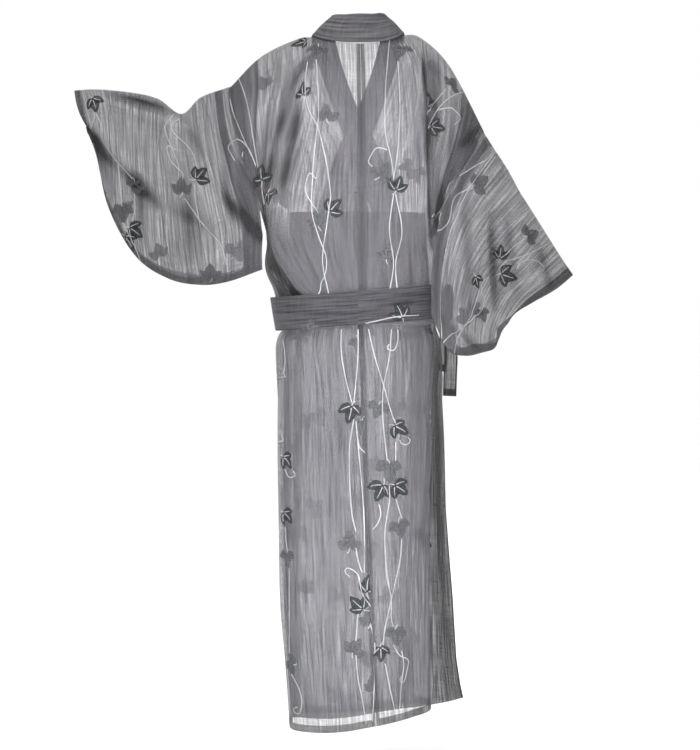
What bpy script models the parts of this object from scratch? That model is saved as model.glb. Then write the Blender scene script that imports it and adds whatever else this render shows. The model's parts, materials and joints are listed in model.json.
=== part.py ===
"""Two-piece sheer summer kimono, worn: a bloused top over a wrapped skirt, with a belt.

The garment faces -Y, its back is +Y and up is +Z, so its wearer's left is +X.
The origin lies between the shoulders at the foot of the neck, where the wearer holds it up.
Every piece is a thin wall on a smooth surface through a few guide lines, given in millimetres.
"""

import math
from collections import namedtuple

import bmesh
import bpy
import numpy as np

MM = 0.001

# Cloth
WALL = 1.5 * MM
FOLDED_WALL = 3.0 * MM
SEAM_GAP = 0.5
GORE_GAP = 2.3

# Mesh steps between two guide lines and between two stations
BACK_ACROSS = 4
FRONT_ACROSS = 3
BODY_ALONG = 2
OVERLAP_ACROSS = 3
OVERLAP_ALONG = 3
COLLAR_ALONG = 3
COLLAR_ACROSS = 2
BELT_END_STEPS = 3
WAISTBAND_ROWS = 3
BELT_ROWS = 2

# Skirt cut, width of each panel at the hip
SKIRT_BACK = 290.0
SKIRT_FRONT = 235.0
SKIRT_OVERLAP = 140.0
SKIRT_RADIUS = 133.6
SKIRT_SPIRAL = 18.0
SKIRT_INNER_FOLDS = 0.3
SKIRT_TOP = -332.0
SKIRT_SEAM = -515.0
SKIRT_FREE = -550.0
SKIRT_HALF = SKIRT_BACK + SKIRT_FRONT + SKIRT_OVERLAP
RING_POWER = 2.4

# Belt
BELT_HEIGHT = 64.0
BELT_MIDDLE = -513.0
BELT_TILT = -0.079
BELT_STEPS = 44

CLOTH_COLOURS = {
    "sheer": (0.150, 0.148, 0.153, 1.0),
    "folded": (0.095, 0.093, 0.098, 1.0),
}

# Each guide runs along the grain from the shoulder to the hem of the top
Guide = namedtuple("Guide", "shoulder yoke blade armhole armpit ribs blouse belt hem")

CENTRE_BACK = Guide((-4, 40, -13), (-5, 72, -60), (-6, 93, -130), (-7, 100, -225), (-7, 98, -310),
                    (-7, 98, -385), (-7, 107, -452), (-7, 103, -492), (-7, 101, -545))

BACK_LEFT = {
    "mid back": Guide((48, 31, -8), (48, 68, -58), (54, 91, -128), (64, 97, -222), (74, 93, -308),
                      (76, 91, -384), (56, 104, -455), (42, 104, -492), (42, 102, -545)),
    "crest": Guide((90, 4, 2), (98, 56, -52), (104, 80, -123), (129, 82, -211), (150, 71, -298),
                   (157, 64, -376), (113, 91, -460), (84, 101, -493), (84, 99, -545)),
    "valley": Guide((125, 2, -5), (120, 38, -64), (133, 48, -122), (152, 50, -205), (166, 44, -302),
                    (166, 50, -381), (122, 83, -461), (92, 99, -493), (92, 97, -545)),
    "upper arm": Guide((188, 0, -37), (184, 44, -88), (189, 56, -150), (190, 50, -230), (175, 37, -312),
                       (171, 43, -384), (129, 79, -462), (98, 98, -493), (98, 96, -545)),
    "armhole": Guide((246, -4, -95), (243, 34, -132), (230, 42, -192), (210, 40, -265), (187, 29, -322),
                     (174, 37, -386), (134, 76, -462), (103, 96, -493), (103, 94, -545)),
}

BACK_RIGHT = {
    "mid back": Guide((-52, 30, -8), (-60, 68, -58), (-66, 91, -128), (-70, 96, -222), (-72, 93, -308),
                      (-73, 92, -384), (-76, 102, -452), (-76, 103, -492), (-74, 101, -545)),
    "crest": Guide((-90, 4, 6), (-118, 52, -47), (-130, 77, -120), (-134, 81, -210), (-134, 77, -300),
                   (-135, 72, -383), (-143, 70, -430), (-142, 66, -488), (-139, 64, -545)),
    "valley": Guide((-122, 2, -1), (-127, 36, -62), (-129, 45, -130), (-131, 46, -215), (-136, 44, -302),
                    (-141, 46, -385), (-148, 56, -436), (-147, 58, -490), (-144, 57, -545)),
    "upper arm": Guide((-175, 0, -53), (-176, 40, -112), (-172, 49, -178), (-157, 46, -245), (-147, 37, -318),
                       (-148, 34, -388), (-151, 46, -440), (-150, 49, -491), (-147, 48, -545)),
    "armhole": Guide((-240, -4, -175), (-222, 32, -206), (-196, 41, -250), (-169, 38, -295), (-153, 28, -342),
                     (-152, 22, -396), (-153, 36, -445), (-153, 40, -492), (-150, 39, -545)),
}

FRONT_LEFT = {
    "collar edge": Guide((90, 4, 2), (84, -40, -28), (66, -83, -90), (42, -108, -155), (15, -121, -222),
                         (17, -122, -330), (19, -120, -430), (21, -116, -490), (21, -114, -545)),
    "chest": Guide((116, 2, -3), (116, -46, -50), (110, -87, -115), (99, -108, -185), (88, -115, -250),
                   (86, -117, -340), (85, -114, -430), (82, -107, -490), (80, -105, -545)),
    "side chest": Guide((165, 0, -24), (168, -44, -78), (163, -78, -145), (157, -88, -215), (155, -86, -280),
                        (157, -78, -360), (155, -72, -430), (137, -72, -487), (128, -70, -545)),
    "under arm": Guide((212, -2, -60), (210, -44, -115), (200, -66, -180), (187, -68, -245), (178, -58, -305),
                       (182, -25, -380), (182, -5, -434), (161, 2, -487), (149, 2, -545)),
    "armhole": Guide((246, -4, -95), (243, -38, -135), (228, -50, -200), (207, -46, -262), (188, -30, -318),
                     (182, 12, -386), (176, 48, -440), (136, 77, -487), (105, 92, -545)),
}

FRONT_RIGHT = {
    "collar edge": Guide((-90, 4, 6), (-84, -38, -26), (-66, -79, -90), (-42, -101, -155), (-15, -112, -222),
                         (-15, -112, -330), (-15, -110, -430), (-15, -106, -490), (-15, -104, -545)),
    "chest": Guide((-116, 2, 1), (-120, -45, -54), (-112, -80, -120), (-98, -99, -190), (-84, -105, -250),
                   (-83, -105, -340), (-82, -102, -430), (-80, -97, -490), (-79, -95, -545)),
    "side chest": Guide((-155, 0, -24), (-156, -42, -88), (-146, -70, -160), (-130, -80, -225),
                        (-120, -80, -295), (-119, -78, -370), (-120, -76, -435), (-120, -72, -490),
                        (-118, -70, -545)),
    "under arm": Guide((-200, -2, -90), (-192, -40, -148), (-174, -56, -210), (-153, -58, -268),
                       (-144, -50, -322), (-146, -38, -388), (-149, -26, -440), (-149, -20, -491),
                       (-147, -20, -545)),
    "armhole": Guide((-240, -4, -175), (-222, -36, -210), (-197, -44, -255), (-171, -38, -300),
                     (-155, -20, -345), (-154, 2, -398), (-155, 22, -445), (-155, 31, -492),
                     (-152, 31, -545)),
}

# The gore's outer edge, where the collar is sewn on, from its tip to the hem
GORE_STATIONS = 4
LEFT_GORE_EDGE = ((12, -121.5, -226), (-22, -125, -320), (-54, -122, -430), (-70, -114, -490),
                  (-79, -110, -545))
RIGHT_GORE_EDGE = ((-12, -112.5, -226), (22, -114, -320), (54, -108, -430), (70, -101, -490),
                   (79, -96, -545))

# Collar stations from the left front's hem, up round the neck, to the right front's hem
CollarStation = namedtuple("CollarStation", "seam edge")
COLLAR = (
    CollarStation((-80.5, -109.5, -545), (-131, -86, -538)),
    CollarStation((-71.5, -113.5, -490), (-122, -94, -478)),
    CollarStation((-55.5, -121.5, -430), (-106, -106, -415)),
    CollarStation((-23.5, -125, -320), (-73, -117, -303)),
    CollarStation((11, -122, -219), (-38, -116, -198)),
    CollarStation((38.5, -109, -153), (2, -100, -122)),
    CollarStation((62.5, -84, -88), (29, -70, -52)),
    CollarStation((82, -40, -26), (47, -34, 16)),
    CollarStation((88, 4, 4), (50, 2, 40)),
    CollarStation((70, 29, -2), (42, 14, 44)),
    CollarStation((36, 38, -9), (22, 23, 44)),
    CollarStation((-4, 42, -11), (-4, 27, 45)),
    CollarStation((-44, 38, -9), (-27, 23, 45)),
    CollarStation((-74, 28, 0), (-43, 15, 47)),
    CollarStation((-88, 4, 8), (-51, 2, 43)),
    CollarStation((-82, -38, -24), (-47, -32, 18)),
    CollarStation((-62.5, -80, -88), (-29, -64, -51)),
    CollarStation((-38.5, -102, -153), (-3, -90, -120)),
    CollarStation((-11, -113, -219), (35, -105, -196)),
    CollarStation((23.5, -114, -320), (73, -104, -303)),
    CollarStation((55.5, -107.5, -430), (103, -90, -415)),
    CollarStation((71.5, -100.5, -490), (112, -80, -478)),
    CollarStation((80.5, -95.5, -545), (116, -74, -538)),
)

# A sleeve's section at one place along the arm: the fold on the arm, three points on the way down and
# the sewn bottom, as (x, z); then the middle's y at top and bottom, the bag's half depth over the arm
# and low down, and how far the front layer is moved aside low down
SleeveStation = namedtuple("SleeveStation", "cut top upper middle lower bottom y_top y_low arm low aside")

SLEEVE_LEFT = (
    SleeveStation(0, (249, -94), (239, -165), (219, -240), (192, -330), (188, -443), -4, 30, 44, 14, 4),
    SleeveStation(60, (300, -112), (290, -195), (272, -280), (254, -368), (248, -464), -6, 22, 46, 12, 2),
    SleeveStation(110, (338, -143), (333, -222), (321, -305), (310, -388), (300, -470), -10, 18, 38, 10, 0),
    SleeveStation(165, (385, -113), (384, -205), (378, -295), (372, -380), (362, -458), -16, 14, 38, 10, 0),
    SleeveStation(225, (445, -100), (442, -180), (439, -260), (436, -335), (426, -414), -22, 8, 34, 9, 0),
    SleeveStation(285, (505, -95), (494, -150), (489, -208), (485, -262), (479, -318), -28, -4, 26, 7, 0),
    SleeveStation(330, (545, -97), (540, -124), (531, -152), (517, -180), (502, -208), -34, -16, 16, 3, 0),
)

SLEEVE_RIGHT = (
    SleeveStation(0, (-243, -177), (-196, -250), (-162, -330), (-142, -425), (-139, -530),
                  -4, 97, 44, 10, -4),
    SleeveStation(80, (-276, -243), (-218, -318), (-179, -405), (-164, -498), (-168, -592),
                  -8, 88, 46, 11, -9),
    SleeveStation(165, (-318, -305), (-262, -366), (-216, -440), (-194, -525), (-202, -604),
                  -14, 66, 42, 12, 0),
    SleeveStation(240, (-365, -378), (-318, -428), (-270, -480), (-240, -545), (-234, -599),
                  -22, 46, 38, 10, 0),
    SleeveStation(290, (-395, -424), (-354, -460), (-308, -498), (-275, -548), (-262, -588),
                  -28, 30, 34, 8, 0),
    SleeveStation(330, (-414, -451), (-378, -480), (-338, -502), (-297, -526), (-265, -553),
                  -32, 16, 28, 4, 0),
)
SLEEVE_ROUND = 30
SLEEVE_ALONG = 2

# A large soft fold: a line as (x, z) from and to, its half width, and how far it moves the cloth back
Fold = namedtuple("Fold", "start end width depth")
SLEEVE_LEFT_FOLDS = (
    Fold((528, -150), (384, -309), 26, -12),
    Fold((490, -112), (330, -168), 16, -16),
    Fold((250, -190), (196, -330), 18, 10),
    Fold((262, -210), (205, -420), 16, -9),
    Fold((330, -190), (300, -420), 24, 8),
)
SLEEVE_RIGHT_FOLDS = (
    Fold((-250, -330), (-262, -520), 18, -20),
    Fold((-165, -180), (-185, -400), 14, 9),
    Fold((-205, -300), (-215, -560), 16, 10),
    Fold((-320, -350), (-305, -480), 20, 8),
    Fold((-152, -525), (-232, -590), 14, -10),
)
FRONT_LAYER_FOLDS = 0.55

# Skirt sections at its outermost layer
SkirtSection = namedtuple("SkirtSection", "z left right back front turn")
SKIRT = (
    SkirtSection(-332, 136, 128, 86, 92, -2),
    SkirtSection(-440, 140, 134, 90, 93, -2),
    SkirtSection(-515, 140, 141, 94, 95, -2),
    SkirtSection(-552, 143, 141, 96, 97, -2),
    SkirtSection(-580, 154, 148, 103, 105, -2),
    SkirtSection(-650, 158, 151, 112, 114, -4),
    SkirtSection(-760, 160, 153, 118, 118, -5),
    SkirtSection(-900, 159, 151, 114, 116, -7),
    SkirtSection(-1075, 157, 150, 108, 112, -10),
    SkirtSection(-1190, 148, 151, 104, 108, -12),
    SkirtSection(-1340, 138, 153, 102, 106, -14),
)
SkirtHem = namedtuple("SkirtHem", "along z")
SKIRT_HEM = (
    SkirtHem(-665, -1276), SkirtHem(-525, -1302), SkirtHem(-400, -1310), SkirtHem(-290, -1290),
    SkirtHem(-140, -1282), SkirtHem(0, -1306), SkirtHem(60, -1317), SkirtHem(140, -1320),
    SkirtHem(290, -1312), SkirtHem(400, -1324), SkirtHem(525, -1304), SkirtHem(600, -1286),
    SkirtHem(665, -1265),
)
# Vertical folds: place along the cut, half width, depth at the belt and at the hem
SkirtFold = namedtuple("SkirtFold", "along width at_belt at_hem")
SKIRT_FOLDS = (
    SkirtFold(-560, 38, 2, 7), SkirtFold(-440, 30, -2, -6), SkirtFold(-330, 34, 3, 8),
    SkirtFold(-205, 26, -6, -9), SkirtFold(-110, 30, 3, 5), SkirtFold(60, 34, -2, -5),
    SkirtFold(165, 30, 3, 6), SkirtFold(250, 26, -3, -8), SkirtFold(345, 34, 3, 8),
    SkirtFold(450, 32, -3, -7), SkirtFold(540, 34, 2, 6),
)
FLAP_START = 470.0
FLAP_FLARE = ((-515, 6), (-700, 10), (-900, 18), (-1075, 33), (-1190, 39), (-1240, 46), (-1340, 66))
SKIRT_STEP = 30.0
SKIRT_ROWS = 11

# Belt sections at its top and bottom edge
BeltEdge = namedtuple("BeltEdge", "left right back front")
BELT_TOP = BeltEdge(167, 161, 115, 128)
BELT_BOTTOM = BeltEdge(157, 159, 114, 124)
BELT_POWER = 3.0

KNOT_CENTRE = (-174, -34, -506)
KNOT_SIZE = (11, 24, 37)


def clear_scene():
    """Removes what the file holds before the model is made."""
    for item in list(bpy.data.objects):
        bpy.data.objects.remove(item, do_unlink=True)


def cloth_material(name):
    """A matt woven cloth of one of the two thicknesses."""
    material = bpy.data.materials.get(name)
    if material is None:
        material = bpy.data.materials.new(name)
        material.use_nodes = True
        shader = material.node_tree.nodes["Principled BSDF"]
        shader.inputs["Base Color"].default_value = CLOTH_COLOURS[name]
        shader.inputs["Roughness"].default_value = 0.9
        shader.inputs["Metallic"].default_value = 0.0
    return material


def smooth_through(knots, spans):
    """Points on a smooth curve through the knots, with `spans` steps between each two."""
    knots = np.asarray(knots, float)
    before = np.concatenate([2 * knots[:1] - knots[1:2], knots[:-2]])
    after = np.concatenate([knots[2:], 2 * knots[-1:] - knots[-2:-1]])
    start, stop = knots[:-1], knots[1:]
    shape = (1,) * (knots.ndim - 1)
    points = []
    for index in range(len(start)):
        t = (np.arange(spans) / spans).reshape((-1,) + shape)
        a, b, c, d = before[index], start[index], stop[index], after[index]
        points.append(0.5 * (2 * b + (c - a) * t + (2 * a - 5 * b + 4 * c - d) * t ** 2
                             + (3 * b - a - 3 * c + d) * t ** 3))
    return np.concatenate(points + [knots[-1:]])


def loft(guides, across, along):
    """A grid through guide lines: first index across the guides, second along them."""
    lines = np.stack([smooth_through(guide, along) for guide in guides])
    return smooth_through(lines, across)


def soft_fold(points, folds, scale=1.0):
    """Moves points back or forth in y near each fold line, tapered at its ends."""
    moved = points.copy()
    for fold in folds:
        start, end = np.array(fold.start, float), np.array(fold.end, float)
        run = end - start
        flat = points[..., [0, 2]] - start
        place = (flat @ run) / (run @ run)
        aside = np.linalg.norm(flat - np.clip(place, 0, 1)[..., None] * run, axis=-1)
        taper = np.sin(np.pi * np.clip(0.15 + 0.7 * place, 0, 1))
        moved[..., 1] += scale * fold.depth * taper * np.exp(-(aside / fold.width) ** 2)
    return moved


def cloth_piece(name, grids, material, wall=WALL, closed=False):
    """One solid wall from grids of surface points that share the points where they are welded."""
    mesh = bpy.data.meshes.new(name)
    builder = bmesh.new()
    for grid in grids:
        rows, columns = grid.shape[:2]
        vertices = [[builder.verts.new(grid[i, j] * MM) for j in range(columns)] for i in range(rows)]
        last = columns if closed else columns - 1
        for i in range(rows - 1):
            for j in range(last):
                k = (j + 1) % columns
                builder.faces.new((vertices[i][j], vertices[i + 1][j], vertices[i + 1][k], vertices[i][k]))
    bmesh.ops.remove_doubles(builder, verts=builder.verts, dist=0.01 * MM)
    bmesh.ops.recalc_face_normals(builder, faces=builder.faces)
    builder.to_mesh(mesh)
    builder.free()
    piece = bpy.data.objects.new(name, mesh)
    bpy.context.scene.collection.objects.link(piece)
    mesh.materials.append(cloth_material(material))
    mesh.shade_smooth()
    thick = piece.modifiers.new("wall", "SOLIDIFY")
    thick.thickness = wall
    thick.offset = 0.0
    return piece


def top_body(name, side, back_guides, front_guides):
    """Back and front in one length over the shoulder, open for the neck and split at the side."""
    centre = np.array(CENTRE_BACK, float)
    centre[:, 0] += side * 0.5 * SEAM_GAP
    back = loft([centre] + [np.array(g, float) for g in back_guides.values()], BACK_ACROSS, BODY_ALONG)
    front = loft([np.array(g, float) for g in front_guides.values()], FRONT_ACROSS, BODY_ALONG)
    shoulder = back[2 * BACK_ACROSS:, 0]
    fade = (1 - np.linspace(0, 1, front.shape[1])) ** 3
    front = front + (shoulder - front[:, 0])[:, None] * fade[None, :, None]
    return cloth_piece(name, (back, front), "sheer")


def top_overlap(name, seam_guide, edge, side):
    """The tapering gore between a front and the collar."""
    seam = np.array(seam_guide, float)[GORE_STATIONS:]
    seam[0, 2] -= 4
    seam[:, 0] -= side * GORE_GAP
    edge = np.array(edge, float)
    middle = 0.5 * (seam + edge)
    middle[:, 1] -= np.array([0, 1, 2, 2, 2])
    return cloth_piece(name, (loft((seam, middle, edge), OVERLAP_ACROSS, OVERLAP_ALONG),), "sheer")


def top_collar():
    """The folded band, from one front's hem round the neck to the other's."""
    seam = smooth_through([station.seam for station in COLLAR], COLLAR_ALONG)
    edge = smooth_through([station.edge for station in COLLAR], COLLAR_ALONG)
    steps = np.linspace(0, 1, COLLAR_ACROSS + 1)[None, :, None]
    band = seam[:, None] * (1 - steps) + edge[:, None] * steps
    return cloth_piece("top_collar", (band,), "folded", FOLDED_WALL)


def sleeve(name, stations, folds, side):
    """A folded bag round the arm, open at the cuff and towards the body."""
    def column(read):
        return smooth_through([read(station) for station in stations], SLEEVE_ALONG)

    path = column(lambda s: np.array([s.top, s.upper, s.middle, s.lower, s.bottom], float))
    depth = column(lambda s: np.array([s.y_top, s.y_low, s.arm, s.low, s.aside], float))
    rings = []
    for points, (y_top, y_low, arm, low, aside) in zip(path, depth):
        line = smooth_through(points, 12)
        ring = []
        for step in range(SLEEVE_ROUND):
            turn = 2 * math.pi * step / SLEEVE_ROUND
            down = 0.5 - 0.5 * math.cos(turn)
            where = down * (len(line) - 1)
            base = min(int(where), len(line) - 2)
            x, z = line[base] + (where - base) * (line[base + 1] - line[base])
            ease = down * down * (3 - 2 * down)
            half = (arm + (low - arm) * min(1.0, 1.6 * down)) * abs(math.sin(turn)) ** 0.6
            facing = 1.0 if step < SLEEVE_ROUND / 2 else -1.0
            y = y_top + (y_low - y_top) * ease + facing * half
            if facing < 0:
                x += aside * math.sin(math.pi * min(1.0, 0.5 + 0.5 * down)) + aside * ease
            ring.append((x + side * SEAM_GAP, y, z))
        rings.append(ring)
    bag = np.array(rings, float)
    is_back = (np.arange(SLEEVE_ROUND) < SLEEVE_ROUND / 2)[None, :, None]
    bag = np.where(is_back, soft_fold(bag, folds), soft_fold(bag, folds, FRONT_LAYER_FOLDS))
    return cloth_piece(name, (bag,), "sheer", closed=True)


def between(table, key, value, place):
    """A value from a table read straight between its rows."""
    rows = sorted((getattr(row, key), getattr(row, value)) for row in table)
    return float(np.interp(place, [row[0] for row in rows], [row[1] for row in rows]))


def ring_point(left, right, back, front, angle, power=RING_POWER):
    """A point on a rounded body section; the angle runs from the centre back to the wearer's left."""
    sine, cosine = math.sin(angle), math.cos(angle)
    half = left if sine > 0 else right
    deep = back if cosine > 0 else front
    size = (abs(sine) ** power + abs(cosine) ** power) ** (-1 / power)
    return half * sine * size, deep * cosine * size


def skirt_point(along, z):
    """A point of the wrapped skirt, `along` millimetres round the cut from its centre back."""
    values = [between(SKIRT, "z", name, z) for name in ("left", "right", "back", "front", "turn")]
    inset = SKIRT_SPIRAL * (along - SKIRT_HALF) / (2 * SKIRT_HALF)
    angle = along / SKIRT_RADIUS + math.radians(values[4])
    drop = (z - SKIRT_FREE) / (SKIRT[-1].z - SKIRT_FREE)
    swell = 0.0
    if drop > 0:
        for fold in SKIRT_FOLDS:
            deep = fold.at_belt + (fold.at_hem - fold.at_belt) * drop
            swell += deep * min(1.0, 8 * drop) * math.exp(-((along - fold.along) / fold.width) ** 2)
        reach = max(0.0, along - FLAP_START) / (SKIRT_HALF - FLAP_START)
        heights = sorted(FLAP_FLARE)
        flare = float(np.interp(z, [row[0] for row in heights], [row[1] for row in heights]))
        swell += flare * reach * reach * min(1.0, 8 * drop)
        if along < -SKIRT_BACK:
            swell *= SKIRT_INNER_FOLDS
    x, y = ring_point(*[value + inset + swell for value in values[:4]], angle)
    return x, y, z


def skirt_panel(name, start, stop):
    """One panel of the wrap between two places along the cut, from the waistband to the hem."""
    count = max(3, round((stop - start) / SKIRT_STEP))
    hem_places = [row.along for row in SKIRT_HEM]
    hem_heights = smooth_through([row.z for row in SKIRT_HEM], 6)
    hem_along = smooth_through(hem_places, 6)
    grid = []
    for along in np.linspace(start + 0.5 * SEAM_GAP, stop - 0.5 * SEAM_GAP, count + 1):
        hem = float(np.interp(along, hem_along, hem_heights))
        top = SKIRT_SEAM - SEAM_GAP
        heights = top + (hem - top) * np.linspace(0, 1, SKIRT_ROWS + 1) ** 1.15
        grid.append([skirt_point(along, z) for z in heights])
    return cloth_piece(name, (np.array(grid),), "sheer")


def skirt_waistband():
    """The doubled top of the skirt, wrapped as the skirt is."""
    places = np.linspace(-SKIRT_HALF, SKIRT_HALF, 2 * round(SKIRT_HALF / SKIRT_STEP) + 1)
    heights = np.linspace(SKIRT_TOP, SKIRT_SEAM, WAISTBAND_ROWS + 1)
    grid = np.array([[skirt_point(along, z) for z in heights] for along in places])
    return cloth_piece("skirt_waistband", (grid,), "folded")


def belt_ring():
    """The doubled belt, leaning as it lies: lower on the wearer's left."""
    grid = []
    for row in range(BELT_ROWS + 1):
        part = row / BELT_ROWS
        ring = []
        for step in range(BELT_STEPS):
            values = [top + (low - top) * part for top, low in zip(BELT_TOP, BELT_BOTTOM)]
            x, y = ring_point(*values, 2 * math.pi * step / BELT_STEPS, BELT_POWER)
            z = BELT_MIDDLE + BELT_HEIGHT * (0.5 - part) + BELT_TILT * x
            ring.append((x, y, z))
        grid.append(ring)
    return cloth_piece("belt", (np.array(grid),), "folded", FOLDED_WALL, closed=True)


def belt_knot():
    """The pulled-tight wrap of the belt at the wearer's right side."""
    mesh = bpy.data.meshes.new("belt_knot")
    builder = bmesh.new()
    bmesh.ops.create_uvsphere(builder, u_segments=20, v_segments=12, radius=1.0)
    for vertex in builder.verts:
        for axis in range(3):
            value = vertex.co[axis]
            vertex.co[axis] = math.copysign(abs(value) ** 0.7, value)
        pinch = 1 - 0.25 * (1 - vertex.co.z ** 2)
        vertex.co.y *= pinch
        for axis in range(3):
            vertex.co[axis] = (vertex.co[axis] * KNOT_SIZE[axis] + KNOT_CENTRE[axis]) * MM
    bmesh.ops.recalc_face_normals(builder, faces=builder.faces)
    builder.to_mesh(mesh)
    builder.free()
    piece = bpy.data.objects.new("belt_knot", mesh)
    bpy.context.scene.collection.objects.link(piece)
    mesh.materials.append(cloth_material("folded"))
    mesh.shade_smooth()
    return piece


def belt_end(name, first_edge, second_edge):
    """A hanging end of the belt between its two long edges."""
    grid = loft((np.array(first_edge, float), np.array(second_edge, float)), BELT_END_STEPS, BELT_END_STEPS)
    return cloth_piece(name, (grid,), "folded", FOLDED_WALL)


def build():
    """Makes every piece of the garment."""
    clear_scene()
    top_body("top_body_left", 1, BACK_LEFT, FRONT_LEFT)
    top_body("top_body_right", -1, BACK_RIGHT, FRONT_RIGHT)
    top_overlap("top_overlap_left", FRONT_LEFT["collar edge"], LEFT_GORE_EDGE, 1)
    top_overlap("top_overlap_right", FRONT_RIGHT["collar edge"], RIGHT_GORE_EDGE, -1)
    top_collar()
    sleeve("sleeve_left", SLEEVE_LEFT, SLEEVE_LEFT_FOLDS, 1)
    sleeve("sleeve_right", SLEEVE_RIGHT, SLEEVE_RIGHT_FOLDS, -1)
    skirt_waistband()
    edges = (0, SKIRT_BACK, SKIRT_BACK + SKIRT_FRONT, SKIRT_HALF)
    for part, start, stop in zip(("back", "front", "overlap"), edges[:-1], edges[1:]):
        skirt_panel(f"skirt_{part}_left", start, stop)
        skirt_panel(f"skirt_{part}_right", -stop, -start)
    belt_ring()
    belt_knot()
    belt_end("belt_end_long",
             ((-164, -16, -545), (-167, -17, -600), (-165, -19, -645), (-164, -21, -684)),
             ((-184, -42, -545), (-192, -36, -600), (-191, -37, -645), (-190, -38, -686)))
    belt_end("belt_end_short",
             ((-170, -46, -545), (-172, -56, -580), (-172, -58, -612), (-171, -60, -640)),
             ((-160, -78, -545), (-160, -88, -580), (-159, -91, -612), (-158, -92, -638)))


build()
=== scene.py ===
"""Looks of the two-piece sheer kimono: its cloth, print, stitches, floor, lights and camera.

Lengths in the tables are millimetres. The garment faces -Y, its wearer's left is +X, and a place
"as seen" is where the first view, from behind, shows it: (x, z) on the plane through the shoulders.
"""

import json
import math
import random
from collections import namedtuple

import bmesh
import bpy
import numpy as np
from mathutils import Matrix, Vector

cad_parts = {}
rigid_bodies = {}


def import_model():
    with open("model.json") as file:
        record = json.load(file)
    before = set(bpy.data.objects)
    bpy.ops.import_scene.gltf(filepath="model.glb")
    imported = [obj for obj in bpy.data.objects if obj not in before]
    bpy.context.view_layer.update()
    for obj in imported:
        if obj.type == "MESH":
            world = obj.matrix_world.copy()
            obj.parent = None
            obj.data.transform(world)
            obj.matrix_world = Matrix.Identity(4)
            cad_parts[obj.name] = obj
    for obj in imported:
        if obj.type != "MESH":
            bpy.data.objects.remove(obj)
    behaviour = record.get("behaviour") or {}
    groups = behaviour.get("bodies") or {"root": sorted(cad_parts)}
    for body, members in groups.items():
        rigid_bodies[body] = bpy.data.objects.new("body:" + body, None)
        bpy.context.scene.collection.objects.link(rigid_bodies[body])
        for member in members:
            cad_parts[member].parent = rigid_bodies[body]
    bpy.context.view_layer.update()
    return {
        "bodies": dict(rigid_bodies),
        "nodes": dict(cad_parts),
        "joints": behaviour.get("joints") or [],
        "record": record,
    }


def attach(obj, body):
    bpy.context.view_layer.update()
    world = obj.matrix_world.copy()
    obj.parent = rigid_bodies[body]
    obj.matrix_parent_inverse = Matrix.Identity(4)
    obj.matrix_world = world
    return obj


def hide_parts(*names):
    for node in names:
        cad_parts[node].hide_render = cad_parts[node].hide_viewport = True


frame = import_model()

bl_info = {
    "name": "Sheer two-piece kimono",
    "version": (1, 0, 0),
    "blender": (4, 5, 0),
    "location": "View3D > Sidebar > Kimono",
    "description": "Makes a worn two-piece summer kimono of sheer slub cloth with a printed vine",
    "category": "Object",
}

MM = 0.001

# Steps of the cloth meshes between two guide lines and between two stations
BACK_ACROSS = 12
FRONT_ACROSS = 9
BODY_ALONG = 10
OVERLAP_ACROSS = 8
OVERLAP_ALONG = 12
COLLAR_ALONG = 9
COLLAR_ACROSS = 9
SLEEVE_ALONG = 10
SLEEVE_ROUND = 168
SLEEVE_DOWN = 12
SKIRT_STEP = 6.0
SKIRT_ROWS = 130
WAISTBAND_ROWS = 20
BELT_STEPS = 260
BELT_ROWS = 12
TIE_STEPS = 8

# How far apart the seams lie, and how far an edge is moved out to meet the piece it is sewn to
SEAM_GAP = 0.5
GORE_GAP = 2.3
SEAM_REACH = 2.2
SLEEVE_REACH = 7.0
COLLAR_REACH = 6.0
# How far the right sleeve's corner at the armhole is drawn in, and over how many steps that fades
SLEEVE_TUCK = 7.0
SLEEVE_TUCK_STEPS = 9
# How fast a sleeve reaches its depth low down, and how round the bag is there: 1 is an ellipse
SLEEVE_DEEPENS = 1.6
SLEEVE_ROUNDNESS = 0.6
# How fast creases fade in from the folds at the top and bottom of a sleeve
SLEEVE_CREASE_RISE = 3.2

# Skirt cut, width of each panel at the hip
SKIRT_BACK = 290.0
SKIRT_FRONT = 235.0
SKIRT_OVERLAP = 140.0
SKIRT_HALF = SKIRT_BACK + SKIRT_FRONT + SKIRT_OVERLAP
# What turns a place along the cut into an angle, and how far the wrap winds outwards from end to end
SKIRT_RADIUS = 133.6
SKIRT_SPIRAL = 18.0
# Share of the folds and creases that the inner layer of the wrap has
SKIRT_INNER_FOLDS = 0.3
SKIRT_INNER_CREASES = 0.35
# How much closer together the rows of the mesh are at the top
SKIRT_ROW_SPREAD = 1.15
# Heights of the skirt's top edge, of the seam under its waistband, and where the belt lets it go
SKIRT_TOP = -332.0
SKIRT_SEAM = -515.0
SKIRT_FREE = -550.0
# How boxy the skirt's ring is, where 2 is an ellipse
RING_POWER = 2.4
# How far the skirt is eased out just below the belt, and the height where that has faded
SKIRT_EASE = 8.0
SKIRT_EASE_END = -690.0
# How far over the belt's lower edge the ease starts, how soon it is whole, and over what it fades
SKIRT_EASE_OVER = 8
SKIRT_EASE_RISE = 12
SKIRT_EASE_FADE = 100
# How fast the folds open from the belt down, and the drop over which the creases begin
SKIRT_OPENING = 8
SKIRT_CREASE_RISE = 40

# Belt: its tilt is the rise for each millimetre towards the left
BELT_HEIGHT = 64.0
BELT_MIDDLE = -513.0
BELT_TILT = -0.079

# How far in from its ends a fold or crease starts to fade, and how steep its sides are
FOLD_SHAPE = (0.15, 2)
CREASE_SHAPE = (0.12, 1.5)
# Depths of a crease that get the full painted shade
SHADED_DEPTH = 5.5
SHADED_DEEPER = 6.0
SHADED_ON_BELT = 3.0


def table(columns, *rows):
    """Rows with named columns."""
    row_of = namedtuple("Row", columns)
    return [row_of(*row) for row in rows]


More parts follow.
